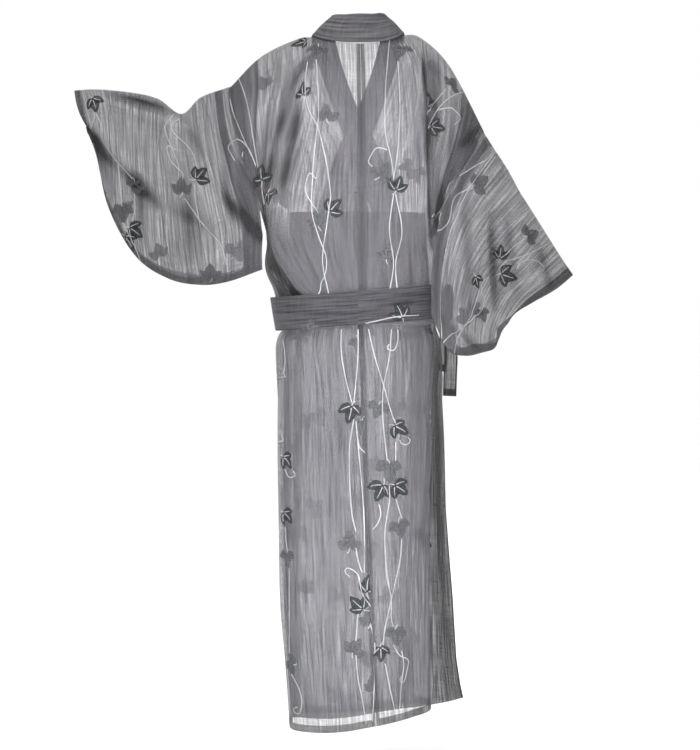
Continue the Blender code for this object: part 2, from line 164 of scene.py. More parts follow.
# Guides run along the grain of the top. Each names nine places (x, y, z): at the shoulder, yoke, blade,
# armhole, armpit, ribs, blouse, belt and hem
CENTRE_BACK = (
    (-4, 40, -13), (-5, 72, -60), (-6, 93, -130), (-7, 100, -225), (-7, 98, -310), (-7, 98, -385),
    (-7, 107, -452), (-7, 103, -492), (-7, 101, -545))
# From the middle outwards: mid back, crest, valley, upper arm, armhole
BACK_LEFT = (
    ((48, 31, -8), (48, 68, -58), (54, 91, -128), (64, 97, -222), (74, 93, -308), (76, 91, -384),
     (56, 104, -455), (42, 104, -492), (42, 102, -545)),
    ((90, 4, 2), (98, 56, -52), (104, 80, -123), (129, 82, -211), (150, 71, -298), (157, 64, -376),
     (113, 91, -460), (84, 101, -493), (84, 99, -545)),
    ((125, 2, -5), (120, 38, -64), (133, 48, -122), (152, 50, -205), (166, 44, -302), (166, 50, -381),
     (122, 83, -461), (92, 99, -493), (92, 97, -545)),
    ((188, 0, -37), (184, 44, -88), (189, 56, -150), (190, 50, -230), (175, 37, -312), (171, 43, -384),
     (129, 79, -462), (98, 98, -493), (98, 96, -545)),
    ((246, -4, -95), (243, 34, -132), (230, 42, -192), (210, 40, -265), (187, 29, -322), (174, 37, -386),
     (134, 76, -462), (103, 96, -493), (103, 94, -545)),
)
BACK_RIGHT = (
    ((-52, 30, -8), (-60, 68, -58), (-66, 91, -128), (-70, 96, -222), (-72, 93, -308), (-73, 92, -384),
     (-76, 102, -452), (-76, 103, -492), (-74, 101, -545)),
    ((-90, 4, 6), (-118, 52, -47), (-130, 77, -120), (-134, 81, -210), (-134, 77, -300), (-135, 72, -383),
     (-143, 70, -430), (-142, 66, -488), (-139, 64, -545)),
    ((-122, 2, -1), (-127, 36, -62), (-129, 45, -130), (-131, 46, -215), (-136, 44, -302),
     (-141, 46, -385), (-148, 56, -436), (-147, 58, -490), (-144, 57, -545)),
    ((-175, 0, -53), (-176, 40, -112), (-172, 49, -178), (-157, 46, -245), (-147, 37, -318),
     (-148, 34, -388), (-151, 46, -440), (-150, 49, -491), (-147, 48, -545)),
    ((-240, -4, -175), (-222, 32, -206), (-196, 41, -250), (-169, 38, -295), (-153, 28, -342),
     (-152, 22, -396), (-153, 36, -445), (-153, 40, -492), (-150, 39, -545)),
)
# From the middle outwards: collar edge, chest, side chest, under arm, armhole
FRONT_LEFT = (
    ((90, 4, 2), (84, -40, -28), (66, -83, -90), (42, -108, -155), (15, -121, -222), (17, -122, -330),
     (19, -120, -430), (21, -116, -490), (21, -114, -545)),
    ((116, 2, -3), (116, -46, -50), (110, -87, -115), (99, -108, -185), (88, -115, -250),
     (86, -117, -340), (85, -114, -430), (82, -107, -490), (80, -105, -545)),
    ((165, 0, -24), (168, -44, -78), (163, -78, -145), (157, -88, -215), (155, -86, -280),
     (157, -78, -360), (155, -72, -430), (137, -72, -487), (128, -70, -545)),
    ((212, -2, -60), (210, -44, -115), (200, -66, -180), (187, -68, -245), (178, -58, -305),
     (182, -25, -380), (182, -5, -434), (161, 2, -487), (149, 2, -545)),
    ((246, -4, -95), (243, -38, -135), (228, -50, -200), (207, -46, -262), (188, -30, -318),
     (182, 12, -386), (176, 48, -440), (136, 77, -487), (105, 92, -545)),
)
FRONT_RIGHT = (
    ((-90, 4, 6), (-84, -38, -26), (-66, -79, -90), (-42, -101, -155), (-15, -112, -222),
     (-15, -112, -330), (-15, -110, -430), (-15, -106, -490), (-15, -104, -545)),
    ((-116, 2, 1), (-120, -45, -54), (-112, -80, -120), (-98, -99, -190), (-84, -105, -250),
     (-83, -105, -340), (-82, -102, -430), (-80, -97, -490), (-79, -95, -545)),
    ((-155, 0, -24), (-156, -42, -88), (-146, -70, -160), (-130, -80, -225), (-120, -80, -295),
     (-119, -78, -370), (-120, -76, -435), (-120, -72, -490), (-118, -70, -545)),
    ((-200, -2, -90), (-192, -40, -148), (-174, -56, -210), (-153, -58, -268), (-144, -50, -322),
     (-146, -38, -388), (-149, -26, -440), (-149, -20, -491), (-147, -20, -545)),
    ((-240, -4, -175), (-222, -36, -210), (-197, -44, -255), (-171, -38, -300), (-155, -20, -345),
     (-154, 2, -398), (-155, 22, -445), (-155, 31, -492), (-152, 31, -545)),
)
# The gore's outer edge, where the collar is sewn on, from its tip to the hem; the gore starts at the
# collar edge's place of this number
GORE_START = 4
LEFT_GORE_EDGE = (
    (12, -121.5, -226), (-22, -125, -320), (-54, -122, -430), (-70, -114, -490), (-79, -110, -545))
RIGHT_GORE_EDGE = (
    (-12, -112.5, -226), (22, -114, -320), (54, -108, -430), (70, -101, -490), (79, -96, -545))

# Collar stations from the left front's hem, up round the neck, to the right front's hem
COLLAR = table(
    "seam edge",
    ((-80.5, -109.5, -545), (-131, -86, -538)), ((-71.5, -113.5, -490), (-122, -94, -478)),
    ((-55.5, -121.5, -430), (-106, -106, -415)), ((-23.5, -125, -320), (-73, -117, -303)),
    ((11, -122, -219), (-38, -116, -198)), ((38.5, -109, -153), (2, -100, -122)),
    ((62.5, -84, -88), (29, -70, -52)), ((82, -40, -26), (47, -34, 16)), ((88, 4, 4), (50, 2, 40)),
    ((70, 29, -2), (42, 14, 44)), ((36, 38, -9), (22, 23, 44)), ((-4, 42, -11), (-4, 27, 45)),
    ((-44, 38, -9), (-27, 23, 45)), ((-74, 28, 0), (-43, 15, 47)), ((-88, 4, 8), (-51, 2, 43)),
    ((-82, -38, -24), (-47, -32, 18)), ((-62.5, -80, -88), (-29, -64, -51)),
    ((-38.5, -102, -153), (-3, -90, -120)), ((-11, -113, -219), (35, -105, -196)),
    ((23.5, -114, -320), (73, -104, -303)), ((55.5, -107.5, -430), (103, -90, -415)),
    ((71.5, -100.5, -490), (112, -80, -478)), ((80.5, -95.5, -545), (116, -74, -538)))

# A sleeve's section at one place along the arm: the fold on the arm, three points on the way down and
# the sewn bottom, as (x, z); then the middle's y at top and bottom, the bag's half depth over the arm
# and low down, and how far the front layer is moved aside low down
SLEEVE_COLUMNS = "top upper middle lower bottom y_top y_low arm low aside"
SLEEVE_LEFT = table(
    SLEEVE_COLUMNS,
    ((249, -94), (239, -165), (219, -240), (192, -330), (188, -443), -4, 30, 44, 14, 4),
    ((300, -112), (290, -195), (272, -280), (254, -368), (248, -464), -6, 22, 46, 12, 2),
    ((338, -143), (333, -222), (321, -305), (310, -388), (300, -470), -10, 18, 38, 10, 0),
    ((385, -113), (384, -205), (378, -295), (372, -380), (362, -458), -16, 14, 38, 10, 0),
    ((445, -100), (442, -180), (439, -260), (436, -335), (426, -414), -22, 8, 34, 9, 0),
    ((505, -95), (494, -150), (489, -208), (485, -262), (479, -318), -28, -4, 26, 7, 0),
    ((545, -97), (540, -124), (531, -152), (517, -180), (502, -208), -34, -16, 16, 3, 0))
SLEEVE_RIGHT = table(
    SLEEVE_COLUMNS,
    ((-243, -177), (-196, -250), (-162, -330), (-142, -425), (-139, -530), -4, 97, 44, 10, -4),
    ((-276, -243), (-218, -318), (-179, -405), (-164, -498), (-168, -592), -8, 88, 46, 11, -9),
    ((-318, -305), (-262, -366), (-216, -440), (-194, -525), (-202, -604), -14, 66, 42, 12, 0),
    ((-365, -378), (-318, -428), (-270, -480), (-240, -545), (-234, -599), -22, 46, 38, 10, 0),
    ((-395, -424), (-354, -460), (-308, -498), (-275, -548), (-262, -588), -28, 30, 34, 8, 0),
    ((-414, -451), (-378, -480), (-338, -502), (-297, -526), (-265, -553), -32, 16, 28, 4, 0))

# A fold or crease: its line from (x, z) to (end_x, end_z), its half width, and how far it moves the
# cloth: back for a sleeve's large soft fold, outwards for a crease. On the skirt x is the place along
# the cut from the centre back.
# A crease's depth also sets its painted shade: darker along a valley, a little lighter along a crest. Some
# broad creases are there mostly for that painted shade. A sleeve's soft folds get none.
LINE = "x z end_x end_z width depth"
SLEEVE_LEFT_FOLDS = table(
    LINE,
    (528, -150, 384, -309, 26, -12), (490, -112, 330, -168, 16, -16), (250, -190, 196, -330, 18, 10),
    (262, -210, 205, -420, 16, -9), (330, -190, 300, -420, 24, 8))
SLEEVE_RIGHT_FOLDS = table(
    LINE,
    (-250, -330, -262, -520, 18, -20), (-165, -180, -185, -400, 14, 9), (-205, -300, -215, -560, 16, 10),
    (-320, -350, -305, -480, 20, 8), (-152, -525, -232, -590, 14, -10))
BACK_LEFT_CREASES = table(
    LINE,
    (99, -30, 136, -118, 8, -5), (136, -118, 158, -205, 7, -6), (158, -205, 178, -308, 7, -6),
    (86, -50, 104, -208, 9, 4), (112, -130, 128, -215, 12, -7), (128, -215, 150, -300, 12, -7),
    (168, -150, 186, -300, 8, -4), (205, -110, 200, -250, 10, 3), (184, -335, 176, -425, 13, -7),
    (176, -425, 118, -490, 12, -7), (150, -350, 118, -450, 10, 3), (60, -445, 52, -492, 7, 4),
    (34, -452, 31, -492, 6, -4), (18, -440, 14, -492, 7, 3), (84, -440, 68, -492, 7, -4),
    (104, -436, 82, -492, 7, 4), (40, -60, 52, -190, 16, 3), (24, -210, 30, -420, 18, -2),
    (70, -240, 84, -420, 16, 3))
BACK_RIGHT_CREASES = table(
    LINE,
    (-124, -28, -131, -130, 6, -6), (-131, -130, -134, -260, 6, -7), (-134, -260, -140, -405, 6, -6),
    (-116, -50, -124, -240, 9, 4), (-124, -240, -128, -390, 9, 4), (-146, -40, -150, -230, 12, -5),
    (-150, -230, -156, -390, 12, -5), (-100, -60, -104, -180, 15, -3), (-45, -60, -50, -200, 18, 3),
    (-60, -230, -64, -430, 16, -2), (-96, -240, -104, -400, 14, 3), (-30, -446, -33, -492, 7, 4),
    (-52, -440, -55, -492, 7, -4), (-76, -436, -80, -492, 7, 4), (-100, -430, -104, -492, 7, -4),
    (-122, -424, -124, -492, 7, 4), (-180, -120, -172, -260, 9, -4), (-232, -168, -190, -215, 14, -4))
FRONT_LEFT_CREASES = table(
    LINE,
    (104, -40, 86, -240, 12, 4), (140, -60, 128, -260, 11, -4), (176, -90, 160, -300, 12, 4),
    (205, -140, 186, -330, 10, -4), (60, -210, 64, -430, 14, -3), (118, -300, 104, -490, 12, 4),
    (150, -330, 134, -490, 10, -4), (40, -420, 42, -492, 8, 4), (190, -325, 176, -440, 24, -8),
    (172, -390, 126, -498, 22, -8))
FRONT_RIGHT_CREASES = table(
    LINE,
    (-104, -40, -84, -240, 12, 4), (-136, -60, -116, -260, 11, -4), (-170, -110, -146, -310, 12, 4),
    (-60, -210, -62, -430, 14, -3), (-104, -300, -100, -490, 12, 4), (-132, -320, -128, -490, 10, -4),
    (-38, -420, -40, -492, 8, 4))
SLEEVE_LEFT_CREASES = table(
    LINE,
    (542, -146, 470, -235, 13, -6.5), (480, -225, 376, -322, 13, -7), (516, -146, 400, -268, 12, 5),
    (384, -309, 262, -372, 16, -3), (499, -110, 407, -142, 5, 5), (407, -142, 322, -169, 5, 5),
    (476, -104, 351, -138, 13, -6), (258, -300, 180, -390, 13, -8), (300, -270, 215, -380, 14, 5),
    (240, -160, 232, -300, 8, 4), (262, -180, 238, -380, 9, -4), (290, -200, 262, -440, 12, 4),
    (330, -230, 318, -450, 12, -3), (370, -250, 372, -430, 14, 3), (420, -210, 418, -400, 12, -3),
    (498, -140, 430, -330, 12, 3), (505, -180, 470, -300, 9, -3), (349, -150, 338, -230, 8, 4),
    (340, -145, 290, -230, 9, -4), (250, -405, 330, -440, 10, 2))
SLEEVE_RIGHT_CREASES = table(
    LINE,
    (-167, -130, -168, -380, 8, -4), (-253, -336, -263, -518, 8, -7), (-240, -330, -246, -500, 9, 4),
    (-150, -524, -234, -595, 7, -5), (-180, -240, -186, -460, 10, 4), (-228, -176, -140, -282, 17, -3),
    (-202, -290, -212, -520, 10, -4), (-282, -330, -300, -480, 10, -4), (-312, -370, -330, -480, 10, 4),
    (-345, -390, -372, -478, 9, -4), (-225, -280, -222, -420, 9, 3), (-236, -520, -300, -548, 9, 3),
    (-190, -520, -200, -600, 9, 3))
SKIRT_CREASES = table(
    LINE,
    (-140, -726, -92, -1030, 9, -4), (-128, -740, -80, -1040, 9, 3), (-300, -946, 300, -948, 4, -1.2),
    (30, -560, 52, -900, 12, -2.5), (96, -560, 110, -1240, 14, 3), (140, -600, 158, -1280, 11, -3),
    (-40, -570, -30, -1000, 12, 2.5), (-190, -560, -200, -1250, 12, -3), (225, -560, 236, -1270, 12, 3),
    (262, -600, 268, -1200, 9, -3), (-240, -560, -250, -900, 11, 3), (-270, -640, -262, -1280, 10, -3),
    (60, -1000, 74, -1310, 14, 3), (-60, -1060, -76, -1310, 12, -3), (320, -560, 330, -1270, 14, 4),
    (390, -580, 396, -1270, 13, -4), (450, -560, 470, -1250, 14, 3), (520, -560, 540, -1240, 12, 3),
    (596, -520, 634, -1260, 30, -3.2), (292, -560, 296, -1290, 14, -6), (-340, -560, -330, -1270, 14, 2),
    (-420, -560, -416, -1270, 14, -2), (-520, -560, -530, -1240, 14, 2), (12, -560, 20, -640, 6, -3),
    (-12, -560, -16, -660, 6, 3), (70, -560, 72, -640, 6, 3), (-75, -560, -80, -650, 6, -3),
    (180, -560, 190, -680, 7, -4), (-150, -560, -160, -670, 7, -4))
BELT_CREASES = table(
    LINE,
    (-150, -500, -40, -510, 4, -1.2), (-20, -520, 120, -526, 4, -1.2), (30, -498, 150, -506, 4, 1.2),
    (-140, -530, -60, -526, 4, 1.0), (90, -540, 160, -532, 4, -1.0))
# Guides and creases of the back and the front, for each side of the top
BODY_LEFT = (BACK_LEFT, FRONT_LEFT, BACK_LEFT_CREASES, FRONT_LEFT_CREASES)
BODY_RIGHT = (BACK_RIGHT, FRONT_RIGHT, BACK_RIGHT_CREASES, FRONT_RIGHT_CREASES)
# Share of a sleeve's soft folds and of its creases that its front layer has
FRONT_LAYER_FOLDS = 0.55
FRONT_LAYER_CREASES = 0.5

# Skirt sections at its outermost layer
SKIRT = table(
    "z left right back front turn",
    (-332, 136, 128, 86, 92, -2), (-440, 140, 134, 90, 93, -2), (-515, 140, 141, 94, 95, -2),
    (-552, 143, 141, 96, 97, -2), (-580, 154, 148, 103, 105, -2), (-650, 158, 151, 112, 114, -4),
    (-760, 160, 153, 118, 118, -5), (-900, 159, 151, 114, 116, -7), (-1075, 157, 150, 108, 112, -10),
    (-1190, 148, 151, 104, 108, -12), (-1340, 138, 153, 102, 106, -14))
# The hem's height by the place along the cut
SKIRT_HEM = table(
    "along z",
    (-665, -1276), (-525, -1302), (-400, -1310), (-290, -1290), (-140, -1282), (0, -1306), (60, -1317),
    (140, -1320), (290, -1312), (400, -1324), (525, -1304), (600, -1286), (665, -1265))
# Vertical folds: place along the cut, half width, depth at the belt and at the hem
SKIRT_FOLDS = table(
    "along width at_belt at_hem",
    (-560, 38, 2, 7), (-440, 30, -2, -6), (-330, 34, 3, 8), (-205, 26, -6, -9), (-110, 30, 3, 5),
    (60, 34, -2, -5), (165, 30, 3, 6), (250, 26, -3, -8), (345, 34, 3, 8), (450, 32, -3, -7),
    (540, 34, 2, 6))
# How far the flap flares out, from the hem up
FLAP_START = 470.0
FLAP_FLARE = table(
    "z out",
    (-1340, 66), (-1240, 46), (-1190, 39), (-1075, 33), (-900, 18), (-700, 10), (-515, 6))

# Belt sections at its top and bottom edge: left, right, back and front
BELT_TOP = (167, 161, 115, 128)
BELT_BOTTOM = (157, 159, 114, 124)
BELT_POWER = 3.0

KNOT_CENTRE = (-174, -34, -506)
KNOT_SIZE = (11, 24, 37)
# Heights of the two pulled-in lines round the knot, their depth and width, as shares of its half height
KNOT_TUCKS = (0.25, -0.35)
KNOT_TUCK_DEPTH = 0.05
KNOT_TUCK_WIDTH = 0.07
# How boxy the knot is, where 1 is round, and how much it is pinched in the middle
KNOT_ROUNDNESS = 0.7
KNOT_PINCH = 0.25

# The two long edges of each hanging end of the belt
TIE_EDGES = {
    "belt_end_long": (
        ((-164, -16, -545), (-167, -17, -600), (-165, -19, -645), (-164, -21, -684)),
        ((-184, -42, -545), (-192, -36, -600), (-191, -37, -645), (-190, -38, -686))),
    "belt_end_short": (
        ((-170, -46, -545), (-172, -56, -580), (-172, -58, -612), (-171, -60, -640)),
        ((-160, -78, -545), (-160, -88, -580), (-159, -91, -612), (-158, -92, -638))),
}

# Doubled cloth, widths of the bands that look darker
HEM = 19.0
SEAM_ALLOWANCE = 8.5
ARMHOLE_ALLOWANCE = 30.0
SLEEVE_BAND_FROM = 12.0
SLEEVE_BAND_TO = 30.0
# The length from the top where that band has ended, and the length over which it fades
SLEEVE_BAND_END = 200
SLEEVE_BAND_FADE = 90
# The seam of a front gore, the turned edge of the waistband, and the folds of a hanging end
GORE_ALLOWANCE = 8
WAISTBAND_TURN = 12
TIE_END_FOLD = 14
TIE_EDGE_FOLD = 3
LAP_FACING = 92.0
UNDERLAP_FACING = 30.0
# Past this width the lap's facing is its rolled edge: denser, and painted near black as the shade it lies in
ROLLED_EDGE = 87.0
SKIRT_HEM_FOLD = 14.0
CENTRE_ALLOWANCE = 5.0

# Thickness of the waistband and of a hanging end, in metres
WAISTBAND_WALL = 0.0018
TIE_WALL = 0.0016
# How far the neckband swells between its edges, and how far neckband and belt ends waver
COLLAR_BELLY = 1.6
COLLAR_WAVER = 0.5
TIE_WAVER = 2.0

# A leaf's lobes: angle from its tip, length as a share of its reach, half width as a share of its length
LOBE = "turn length half"
LOBES = {
    "dark": table(LOBE, (0, 1.0, 0.29), (52, 0.78, 0.31), (-50, 0.80, 0.31)),
    "grey": table(LOBE, (4, 1.0, 0.36), (64, 0.82, 0.38), (-62, 0.80, 0.38)),
}

# Panels that take the print which the first view shows, the nearer first
SEEN_PANELS = {
    "top": ("back_left", "back_right", "sleeve_left", "sleeve_right"),
    "skirt": ("skirt_back_left", "skirt_back_right"),
    "belt": ("belt",),
}

# Printed leaves and vines as seen, x and z in steps of 4 mm. A leaf has its ink, its middle, the turn of
# its tip from straight down towards the wearer's right in degrees, and the tip's reach from the stalk
PRINT_STEP = 4
LEAF = "ink x z turn reach"
LEAVES = {
    "top": table(
        LEAF,
        ("dark", 27, -2, -70, 26), ("dark", 26, -24, 175, 30), ("dark", 11, -80, 135, 34),
        ("dark", -19, -69, 165, 32), ("dark", 46, -64, 172, 32), ("dark", 43, -76, 0, 26),
        ("grey", 20, -6, -30, 30), ("grey", -21, -6, 0, 31), ("grey", 15, -35, 180, 31),
        ("grey", -12, -63, 150, 32), ("grey", 19, -86, 180, 31), ("grey", -14, -102, 170, 31),
        ("grey", 54, -59, 20, 29), ("dark", 126, -31, 20, 28), ("grey", 107, -71, 0, 29),
        ("grey", 113, -83, 0, 29), ("dark", 107, -92, 70, 30), ("dark", 110, -97, 35, 30),
        ("grey", 84, -70, 180, 32), ("dark", 75, -65, 135, 32), ("grey", 70, -111, 180, 29),
        ("dark", -33, -30, 175, 28), ("dark", -38, -42, 80, 30), ("grey", -45, -21, 150, 30),
        ("grey", -58, -68, 120, 31), ("grey", -83, -93, 120, 29), ("dark", -68, -102, 175, 29),
        ("dark", -72, -113, 80, 33), ("dark", -57, -116, 10, 22), ("grey", -60, -132, 20, 24)),
    "skirt": table(
        LEAF,
        ("dark", 4, -179, -15, 34), ("grey", 0, -147, 0, 29), ("grey", -2, -186, 0, 31),
        ("grey", -9, -178, -20, 30), ("dark", -20, -187, 55, 32), ("grey", -15, -207, 0, 35),
        ("dark", -10, -217, -30, 38), ("dark", -20, -216, 50, 33), ("grey", -20, -235, 10, 31),
        ("grey", 4, -241, 180, 32), ("dark", 34, -202, 35, 29), ("dark", 34, -229, 35, 29),
        ("grey", 36, -221, 0, 28), ("grey", -37, -216, 60, 30), ("grey", 34, -249, 0, 26),
        ("dark", -5, -262, 170, 34), ("dark", 0, -271, -135, 34), ("grey", -6, -277, 180, 32),
        ("grey", 1, -292, 150, 31), ("dark", -11, -295, 5, 29), ("grey", -18, -287, 0, 34),
        ("grey", -8, -309, 180, 29), ("grey", 33, -300, 180, 26)),
    "belt": table(
        LEAF,
        ("dark", -20, -130, -150, 34), ("grey", 23, -137, 180, 24)),
}
# Each vine is x, z, x, z and so on
VINES = {
    "top": (
        (24, -11, 25, -19, 25, -27, 23, -35, 19, -43, 15, -60, 13, -75),
        (13, -75, 15, -89, 17, -106, 14, -122),
        (20, -10, 19, -26, 19, -38, 21, -55, 22, -72, 22, -83, 19, -94, 15, -107, 19, -122),
        (20, -67, 23, -64, 25, -69, 25, -73, 23, -77, 19, -83),
        (-15, -1, -14, -12, -13, -26, -13, -44, -16, -58, -17, -66),
        (-14, -53, -9, -52, -6, -56, -5, -59, -7, -61), (-19, -11, -20, -32, -19, -53, -17, -67),
        (-17, -74, -15, -91, -17, -107, -15, -122), (-18, -74, -21, -92, -18, -107, -19, -122),
        (62, -23, 61, -29, 59, -37, 54, -49, 49, -60), (57, -19, 54, -27, 52, -36, 49, -55, 48, -61),
        (59, -58, 62, -52, 60, -49, 57, -48, 52, -53, 49, -61), (46, -68, 46, -72, 45, -78),
        (126, -35, 126, -38, 128, -43), (125, -36, 123, -41, 122, -48, 116, -58, 108, -67),
        (107, -74, 107, -81, 108, -87), (115, -60, 114, -68, 113, -79),
        (113, -87, 110, -93, 108, -97, 104, -106),
        (88, -36, 92, -41, 92, -45, 90, -50, 86, -60, 86, -67),
        (85, -38, 89, -41, 88, -45, 80, -53, 77, -61),
        (87, -53, 91, -51, 91, -54, 89, -59, 84, -64, 84, -67),
        (78, -69, 78, -75, 76, -87, 73, -103, 72, -108), (83, -76, 74, -89, 66, -98, 63, -108),
        (-32, -37, -37, -30, -42, -24), (-32, -45, -38, -34, -44, -28, -51, -25),
        (-38, -34, -44, -33, -47, -35, -49, -38, -46, -41),
        (-35, -86, -41, -79, -44, -69, -54, -62, -66, -55),
        (-35, -94, -43, -88, -46, -76, -52, -72, -54, -69), (-60, -64, -66, -56),
        (-71, -103, -75, -99, -79, -96), (-72, -106, -81, -103, -89, -99, -93, -96),
        (-76, -110, -79, -106, -85, -106, -89, -109, -88, -112, -86, -114),
        (-46, -151, -48, -142, -53, -135, -56, -127, -58, -120),
        (-41, -145, -44, -142, -51, -137, -60, -128, -59, -118, -62, -114)),
    "skirt": (
        (8, -139, 8, -150, 6, -162, 3, -174), (0, -139, 0, -152, 1, -164, 2, -174),
        (2, -182, 4, -195, 4, -210, 3, -227, 1, -236), (1, -183, 0, -194, -2, -216, -3, -234, -3, -256),
        (0, -192, -1, -196, -4, -198), (-5, -139, -8, -152, -12, -165, -16, -179, -18, -184),
        (-16, -139, -15, -152, -12, -168, -12, -183, -14, -202),
        (-19, -139, -19, -145, -17, -149, -14, -148, -15, -146), (-18, -193, -18, -202),
        (-20, -192, -21, -194, -24, -194, -25, -192, -24, -191),
        (-15, -214, -15, -222, -13, -235, -13, -245, -14, -258, -16, -269, -16, -278, -17, -282),
        (-18, -220, -21, -230), (-21, -240, -20, -251, -16, -269, -13, -283, -12, -291),
        (-10, -223, -11, -228, -9, -233, -7, -235), (-34, -177, -35, -189, -36, -201, -38, -210),
        (36, -144, 35, -150, 35, -156, 36, -163), (37, -187, 36, -198),
        (35, -206, 33, -210, 30, -209, 31, -207), (35, -234, 34, -245), (1, -244, 0, -250, -2, -256),
        (4, -258, 6, -256, 6, -254, 4, -254, 0, -257, -2, -266, -6, -272), (0, -276, 1, -289),
        (1, -296, 0, -307, -2, -317, -4, -329), (-6, -281, -8, -290, -8, -306, -7, -328),
        (-13, -300, -16, -315, -18, -324),
        (-17, -291, -20, -296, -24, -298, -24, -301, -22, -309, -20, -308, -21, -306),
        (-21, -294, -22, -301, -21, -309, -20, -322), (33, -254, 33, -264, 33, -277, 33, -285, 33, -295),
        (33, -273, 33, -283), (32, -305, 28, -313, 27, -319, 28, -324, 30, -324, 31, -322, 29, -321)),
    "belt": (
        (-4, -136, -17, -133, -29, -132),),
}

# Inks by their number in a print's mesh, and how high each kind of line lies over the cloth
INKS = ("dark leaf ink", "grey leaf ink", "white vine ink", "black line ink")
DARK_INK, GREY_INK, WHITE_INK, BLACK_INK = range(4)
LEAF_LIFT = 0.55
LINE_LIFT = 0.68
VINE_LIFT = 0.75
VEIN_LIFT = 0.8
STITCH_LIFT = 0.6

# Each piece's slot in the record, its cut size before it was sewn and hung, and what it rests on
CUTS = table(
    "piece slot flat area held rests_on",
    ("top_body_left", "sheer", (0.33, 1.12), 0.25, "draped", ("top_collar", "belt")),
    ("top_body_right", "sheer", (0.33, 1.12), 0.235, "draped", ("top_collar", "belt")),
    ("top_overlap_left", "sheer", (0.095, 0.34), 0.02, "draped", ("top_body_left",)),
    ("top_overlap_right", "sheer", (0.095, 0.34), 0.02, "draped", ("top_body_right",)),
    ("top_collar", "folded", (1.36, 0.058), None, "folded", ("top_body_left", "top_body_right")),
    ("sleeve_left", "sheer", (0.33, 0.78), 0.205, "hung", ("top_body_left",)),
    ("sleeve_right", "sheer", (0.33, 0.78), 0.155, "hung", ("top_body_right",)),
    ("skirt_back_left", "sheer", (0.29, 0.8), None, "hung", ("skirt_waistband",)),
    ("skirt_back_right", "sheer", (0.29, 0.78), None, "hung", ("skirt_waistband",)),
    ("skirt_front_left", "sheer", (0.235, 0.79), None, "hung", ("skirt_waistband",)),
    ("skirt_front_right", "sheer", (0.235, 0.79), None, "hung", ("skirt_waistband",)),
    ("skirt_overlap_left", "sheer", (0.14, 0.77), None, "hung", ("skirt_waistband",)),
    ("skirt_overlap_right", "sheer", (0.14, 0.77), None, "hung", ("skirt_waistband",)),
    ("skirt_waistband", "folded", (1.31, 0.183), None, "stretched", ("belt",)),
    ("belt", "folded", (0.95, 0.064), None, "stretched", ("skirt_waistband",)),
    ("belt_end_long", "folded", (0.034, 0.142), None, "hung", ("belt_knot",)),
    ("belt_end_short", "folded", (0.034, 0.096), None, "hung", ("belt_knot",)))

# The first view's camera, in millimetres
CAMERA_PLACE = (15.4, 5000.0, -450.0)
CAMERA_LOOKS_AT = (15.4, 0.0, -643.2)
CAMERA_LENS = 125.1
FLOOR_HEIGHT = -1412.0
FLOOR_HALF = 60000.0

# Soft lamps in metres, aimed at a height on the middle line; spread in degrees
LAMPS = table(
    "name place aim size spread",
    ("main light", (2.2, 3.6, 1.4), -0.6, (2.6, 2.6), 180),
    ("second light", (-2.4, -3.4, 1.2), -0.6, (2.6, 2.6), 180),
    ("middle light", (-0.03, 3.0, -0.68), -0.68, (0.2, 1.3), 12))

# Names of the two UV maps: flat coordinates on the cloth, then doubled bands and the painted shade of the
# creases
CLOTH_MAP = "cloth"
FOLD_MAP = "folds"

# The panels made so far, by name
PANELS = {}


def linear_from_hex(code):
    """A colour from its sRGB hex code, as the linear values that the shaders use."""
    values = [int(code[place:place + 2], 16) / 255 for place in (0, 2, 4)]
    return tuple(value / 12.92 if value <= 0.04045 else ((value + 0.055) / 1.055) ** 2.4 for value in values)


def length(name, description, default):
    """The property of a length."""
    return bpy.props.FloatProperty(name=name, description=description, default=default, unit="LENGTH")


def colour(name, description, code):
    """The property of a colour."""
    return bpy.props.FloatVectorProperty(
        name=name, description=description, default=linear_from_hex(code), subtype="COLOR")


def power(name, description, default):
    """The property of a lamp's power."""
    return bpy.props.FloatProperty(name=name, description=description, default=default, unit="POWER")


class KimonoSizes(bpy.types.PropertyGroup):
    """Sizes that change how the cloth and its print look."""

    wall: length("Cloth", "Thickness of a single layer of cloth", 0.0008)
    folded_wall: length("Folded cloth", "Thickness of the collar and belt", 0.0026)
    vine_width: length("Vine", "Width of a printed vine", 0.0017)
    leaf_line: length("Leaf line", "Width of the lines in a leaf", 0.0016)
    stitch_length: length("Stitch", "Length of one stitch", 0.0030)
    stitch_spacing: length("Stitch spacing", "From one stitch to the next", 0.0052)
    thread: length("Thread", "Thickness of the sewing thread", 0.00045)


class KimonoColours(bpy.types.PropertyGroup):
    """Colours of the cloth, the inks and the floor."""

    cloth: colour("Cloth", "Yarn of the sheer cloth", "616064")
    neckband: colour("Neckband", "Dense folded yarn of the neckband", "444346")
    belt: colour("Belt", "Dense folded yarn of belt and waistband", "333235")
    dark_ink: colour("Dark ink", "Ink of the dark leaves", "2c2e2f")
    grey_ink: colour("Grey ink", "Ink of the grey leaves", "454648")
    white_ink: colour("White ink", "Ink of vines and leaf lines", "9a9a9d")
    black_ink: colour("Black ink", "Ink of the leaves' edges", "101112")
    thread: colour("Thread", "Sewing thread", "55555a")
    floor: colour("Floor", "Pale floor", "f6f6f6")


class KimonoRoom(bpy.types.PropertyGroup):
    """Light of the room."""

    surround: bpy.props.FloatProperty(name="Surround", description="Light from the white room", default=0.62)
    key: power("Main light", "Large soft light", 150.0)
    fill: power("Second light", "Light on the front", 110.0)
    middle: power("Middle light", "Tall narrow light down the back", 3.4)
    floor_sun: bpy.props.FloatProperty(name="Even light", description="Light from above", default=1.7)


# Shapes

Panel = namedtuple("Panel", "points across along doubled shade outward sign")


